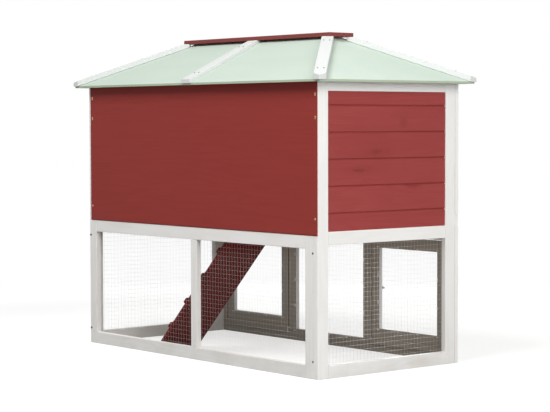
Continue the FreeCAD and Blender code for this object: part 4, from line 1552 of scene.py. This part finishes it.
@dataclass
class Tray:
    """The pull-out tray's painted front and its turned knobs."""

    knob_profile: tuple[Span, ...] = (
        (0.0060, 0.0), (0.0056, 0.004), (0.0062, 0.008), (0.0086, 0.011), (0.0100, 0.015), (0.0095, 0.0185),
        (0.0070, 0.0215), (0.0035, 0.0229), (0.0, 0.0232))
    knob_radius: float = 0.010
    knob_steps: int = 24

    def build(self, finishes: Finishes) -> None:
        """Makes the front board and the knobs.

        Args:
            finishes: The materials.
        """
        front = Timbers("tray_board")
        low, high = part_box("tray_front")
        front.add_bar(Bar(tuple(low), tuple(high), Axis.X))
        front.show(finishes.white, "white_wood", "tray", "tray_front")
        bm = bmesh.new()
        knob_low, knob_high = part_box("tray_knobs")
        spread = knob_high.x - self.knob_radius
        middle = (knob_low.z + knob_high.z) / 2
        for side in Side:
            self.add_knob(bm, Vector((side.value * spread, low.y, middle)))
        show(bm, "tray_pulls", "tray", [finishes.zinc], ["tray_knobs"], smooth=True)

    def add_knob(self, bm: BMesh, foot: Vector) -> None:
        """Turns one knob.

        Args:
            bm: The mesh that gets it.
            foot: The middle of its foot.
        """
        before = set(bm.verts)
        verts = [bm.verts.new(foot + Vector((radius, -out, 0.0))) for radius, out in self.knob_profile]
        edges = [bm.edges.new(pair) for pair in zip(verts, verts[1:])]
        bmesh.ops.spin(bm, geom=verts + edges, cent=foot, axis=Axis.Y.vector, angle=math.tau,
                       steps=self.knob_steps, use_merge=True)
        fresh = [v for v in bm.verts if v not in before]
        bmesh.ops.remove_doubles(bm, verts=fresh, dist=WELD)
        bmesh.ops.recalc_face_normals(bm, faces=[f for f in bm.faces if f.verts[0] not in before])


@dataclass
class PlainPieces:
    """The CAD nodes that keep their mesh and get a finish."""

    def dress(self, finishes: Finishes) -> None:
        """Gives every remaining node its finish.

        Args:
            finishes: The materials.
        """
        choices = {"upper_floor": finishes.pine, "roof_plates": finishes.pine, "ridge_beam": finishes.pine,
                   "floor_bearers": finishes.pine_across, "partition": finishes.pine_across,
                   "roof_rafters": finishes.pine_across, "tray_pan": finishes.tray,
                   "roof_nails": finishes.dark_screw}
        for name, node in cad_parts.items():
            if not node.hide_render:
                node.data.materials.clear()
                node.data.materials.append(choices.get(name, finishes.zinc))
                LOG.info("%s: CAD mesh dressed with %s", name, node.data.materials[0].name)


# Studio

@dataclass
class PhotoView:
    """The photograph's camera."""

    place: Triple = (-4.01968, 3.30068, 0.67963)
    yaw: float = -0.692903
    pitch: float = -0.047681
    roll: float = -0.002289
    focal_px: float = 1768.518
    sensor: float = 36.0
    far: float = 60.0

    def build(self) -> None:
        """Makes the scene's camera."""
        ahead = math.cos(self.pitch)
        forward = Vector((ahead * math.cos(self.yaw), ahead * math.sin(self.yaw), math.sin(self.pitch)))
        level = Vector((math.sin(self.yaw), -math.cos(self.yaw), 0.0))
        upright = level.cross(forward)
        right = level * math.cos(self.roll) + upright * math.sin(self.roll)
        up = right.cross(forward)
        camera = bpy.data.cameras.new("photo_view")
        camera.sensor_width = self.sensor
        camera.lens = self.focal_px / IMAGE_WIDTH * self.sensor
        camera.clip_end = self.far
        holder = put_in_scene("photo_view", camera)
        turn = Matrix((right, up, -forward)).transposed().to_4x4()
        holder.matrix_world = Matrix.Translation(self.place) @ turn
        bpy.context.scene.camera = holder


@dataclass(frozen=True)
class Lamp:
    """A soft box."""

    name: str
    place: Triple
    size: float
    power: float
    aim: Triple = (0.0, 0.0, 0.45)

    def build(self) -> None:
        """Makes the lamp."""
        data = bpy.data.lights.new(self.name, "AREA")
        data.shape = "SQUARE"
        data.size = self.size
        data.energy = self.power
        lamp = put_in_scene(self.name, data)
        lamp.location = self.place
        lamp.rotation_euler = (Vector(self.aim) - Vector(self.place)).to_track_quat("-Z", "Y").to_euler()


@dataclass
class Studio:
    """A pale floor, a white backdrop and three soft boxes."""

    sky: float = 0.16
    floor_size: float = 40.0
    floor_shade: Rgb = (0.40, 0.40, 0.40)
    floor_colour: Rgb = (0.42, 0.42, 0.415)
    floor_glow: float = 0.63
    clear_radius: float = 1.1
    far_radius: float = 2.4
    lamps: tuple[Lamp, ...] = (
        Lamp("end_box", (-3.75, 0.75, 2.1), 3.0, 138.0),
        Lamp("back_box", (-0.5, 2.65, 4.0), 2.2, 172.0),
        Lamp("front_box", (2.0, -3.4, 1.4), 2.4, 105.0))

    def build(self) -> None:
        """Makes the lamps, the world and the floor."""
        for lamp in self.lamps:
            lamp.build()
        self.build_world()
        self.build_floor()

    def seen_directly(self, graph: Graph) -> NodeSocket:
        """Gives 1 where the camera sees a surface straight, in metal or through glass.

        Args:
            graph: The graph that reads it.

        Returns:
            The socket with the share.
        """
        path = graph.add("LightPath").outputs
        seen = graph.math("MAXIMUM", path["Is Camera Ray"], path["Is Glossy Ray"])
        return graph.math("MAXIMUM", seen, path["Is Transmission Ray"])

    def build_world(self) -> None:
        """Makes a sky that is white to the camera and plain for the light."""
        world = bpy.data.worlds.new("studio_sky")
        bpy.context.scene.world = world
        world.use_nodes = True
        world.node_tree.nodes.clear()
        graph = Graph(world.node_tree)
        light = graph.add("Background", {"Color": (1.0, 1.0, 1.0, 1.0), "Strength": self.sky})
        white = graph.add("Background", {"Color": (1.0, 1.0, 1.0, 1.0), "Strength": 1.0})
        seen = self.seen_directly(graph)
        mixed = graph.add("MixShader", {0: seen, 1: light.outputs[0], 2: white.outputs[0]})
        graph.add("OutputWorld", {0: mixed.outputs[0]})

    def build_floor(self) -> None:
        """Makes the pale floor, which keeps the shadow."""
        bm = bmesh.new()
        bmesh.ops.create_grid(bm, x_segments=1, y_segments=1, size=self.floor_size / 2)
        mesh = bpy.data.meshes.new("studio_floor")
        bm.to_mesh(mesh)
        bm.free()
        floor = put_in_scene("studio_floor", mesh)
        material, graph, shader = new_material("studio_floor")
        seen = self.seen_directly(graph)
        inside = graph.add("TexCoord").outputs["Object"]
        away = graph.add("VectorMath", {0: inside}, operation="LENGTH").outputs[1]
        fade = graph.ease(away, self.clear_radius, self.far_radius)
        shown = graph.blend(fade, self.floor_colour, (0.0, 0.0, 0.0))
        graph.tree.links.new(graph.blend(seen, self.floor_shade, shown), shader.inputs["Base Color"])
        shader.inputs["Roughness"].default_value = 1.0
        shader.inputs["Specular IOR Level"].default_value = 0.0
        shader.inputs["Emission Color"].default_value = (1.0, 1.0, 1.0, 1.0)
        glow = graph.ease(fade, 0.0, 1.0, self.floor_glow, 1.0)
        graph.tree.links.new(graph.math("MULTIPLY", seen, glow), shader.inputs["Emission Strength"])
        mesh.materials.append(material)


def main() -> None:
    """Builds the hutch's looks and the studio."""
    logging.basicConfig(level=logging.INFO, format="%(message)s")
    bpy.context.scene.view_settings.view_transform = "Standard"
    finishes = make_finishes()
    for side in Side:
        EndWall(side).build(finishes)
    BackWall().build(finishes)
    FrontWall().build(finishes)
    for name in ("lower_left", "lower_right", "upper_left", "upper_right"):
        Door(name, is_boarded=name == "upper_right").build(finishes)
    Roof().build(finishes)
    Ramp().build(finishes)
    Tray().build(finishes)
    PlainPieces().dress(finishes)
    Studio().build()
    PhotoView().build()


if __name__ == "__main__":
    main()
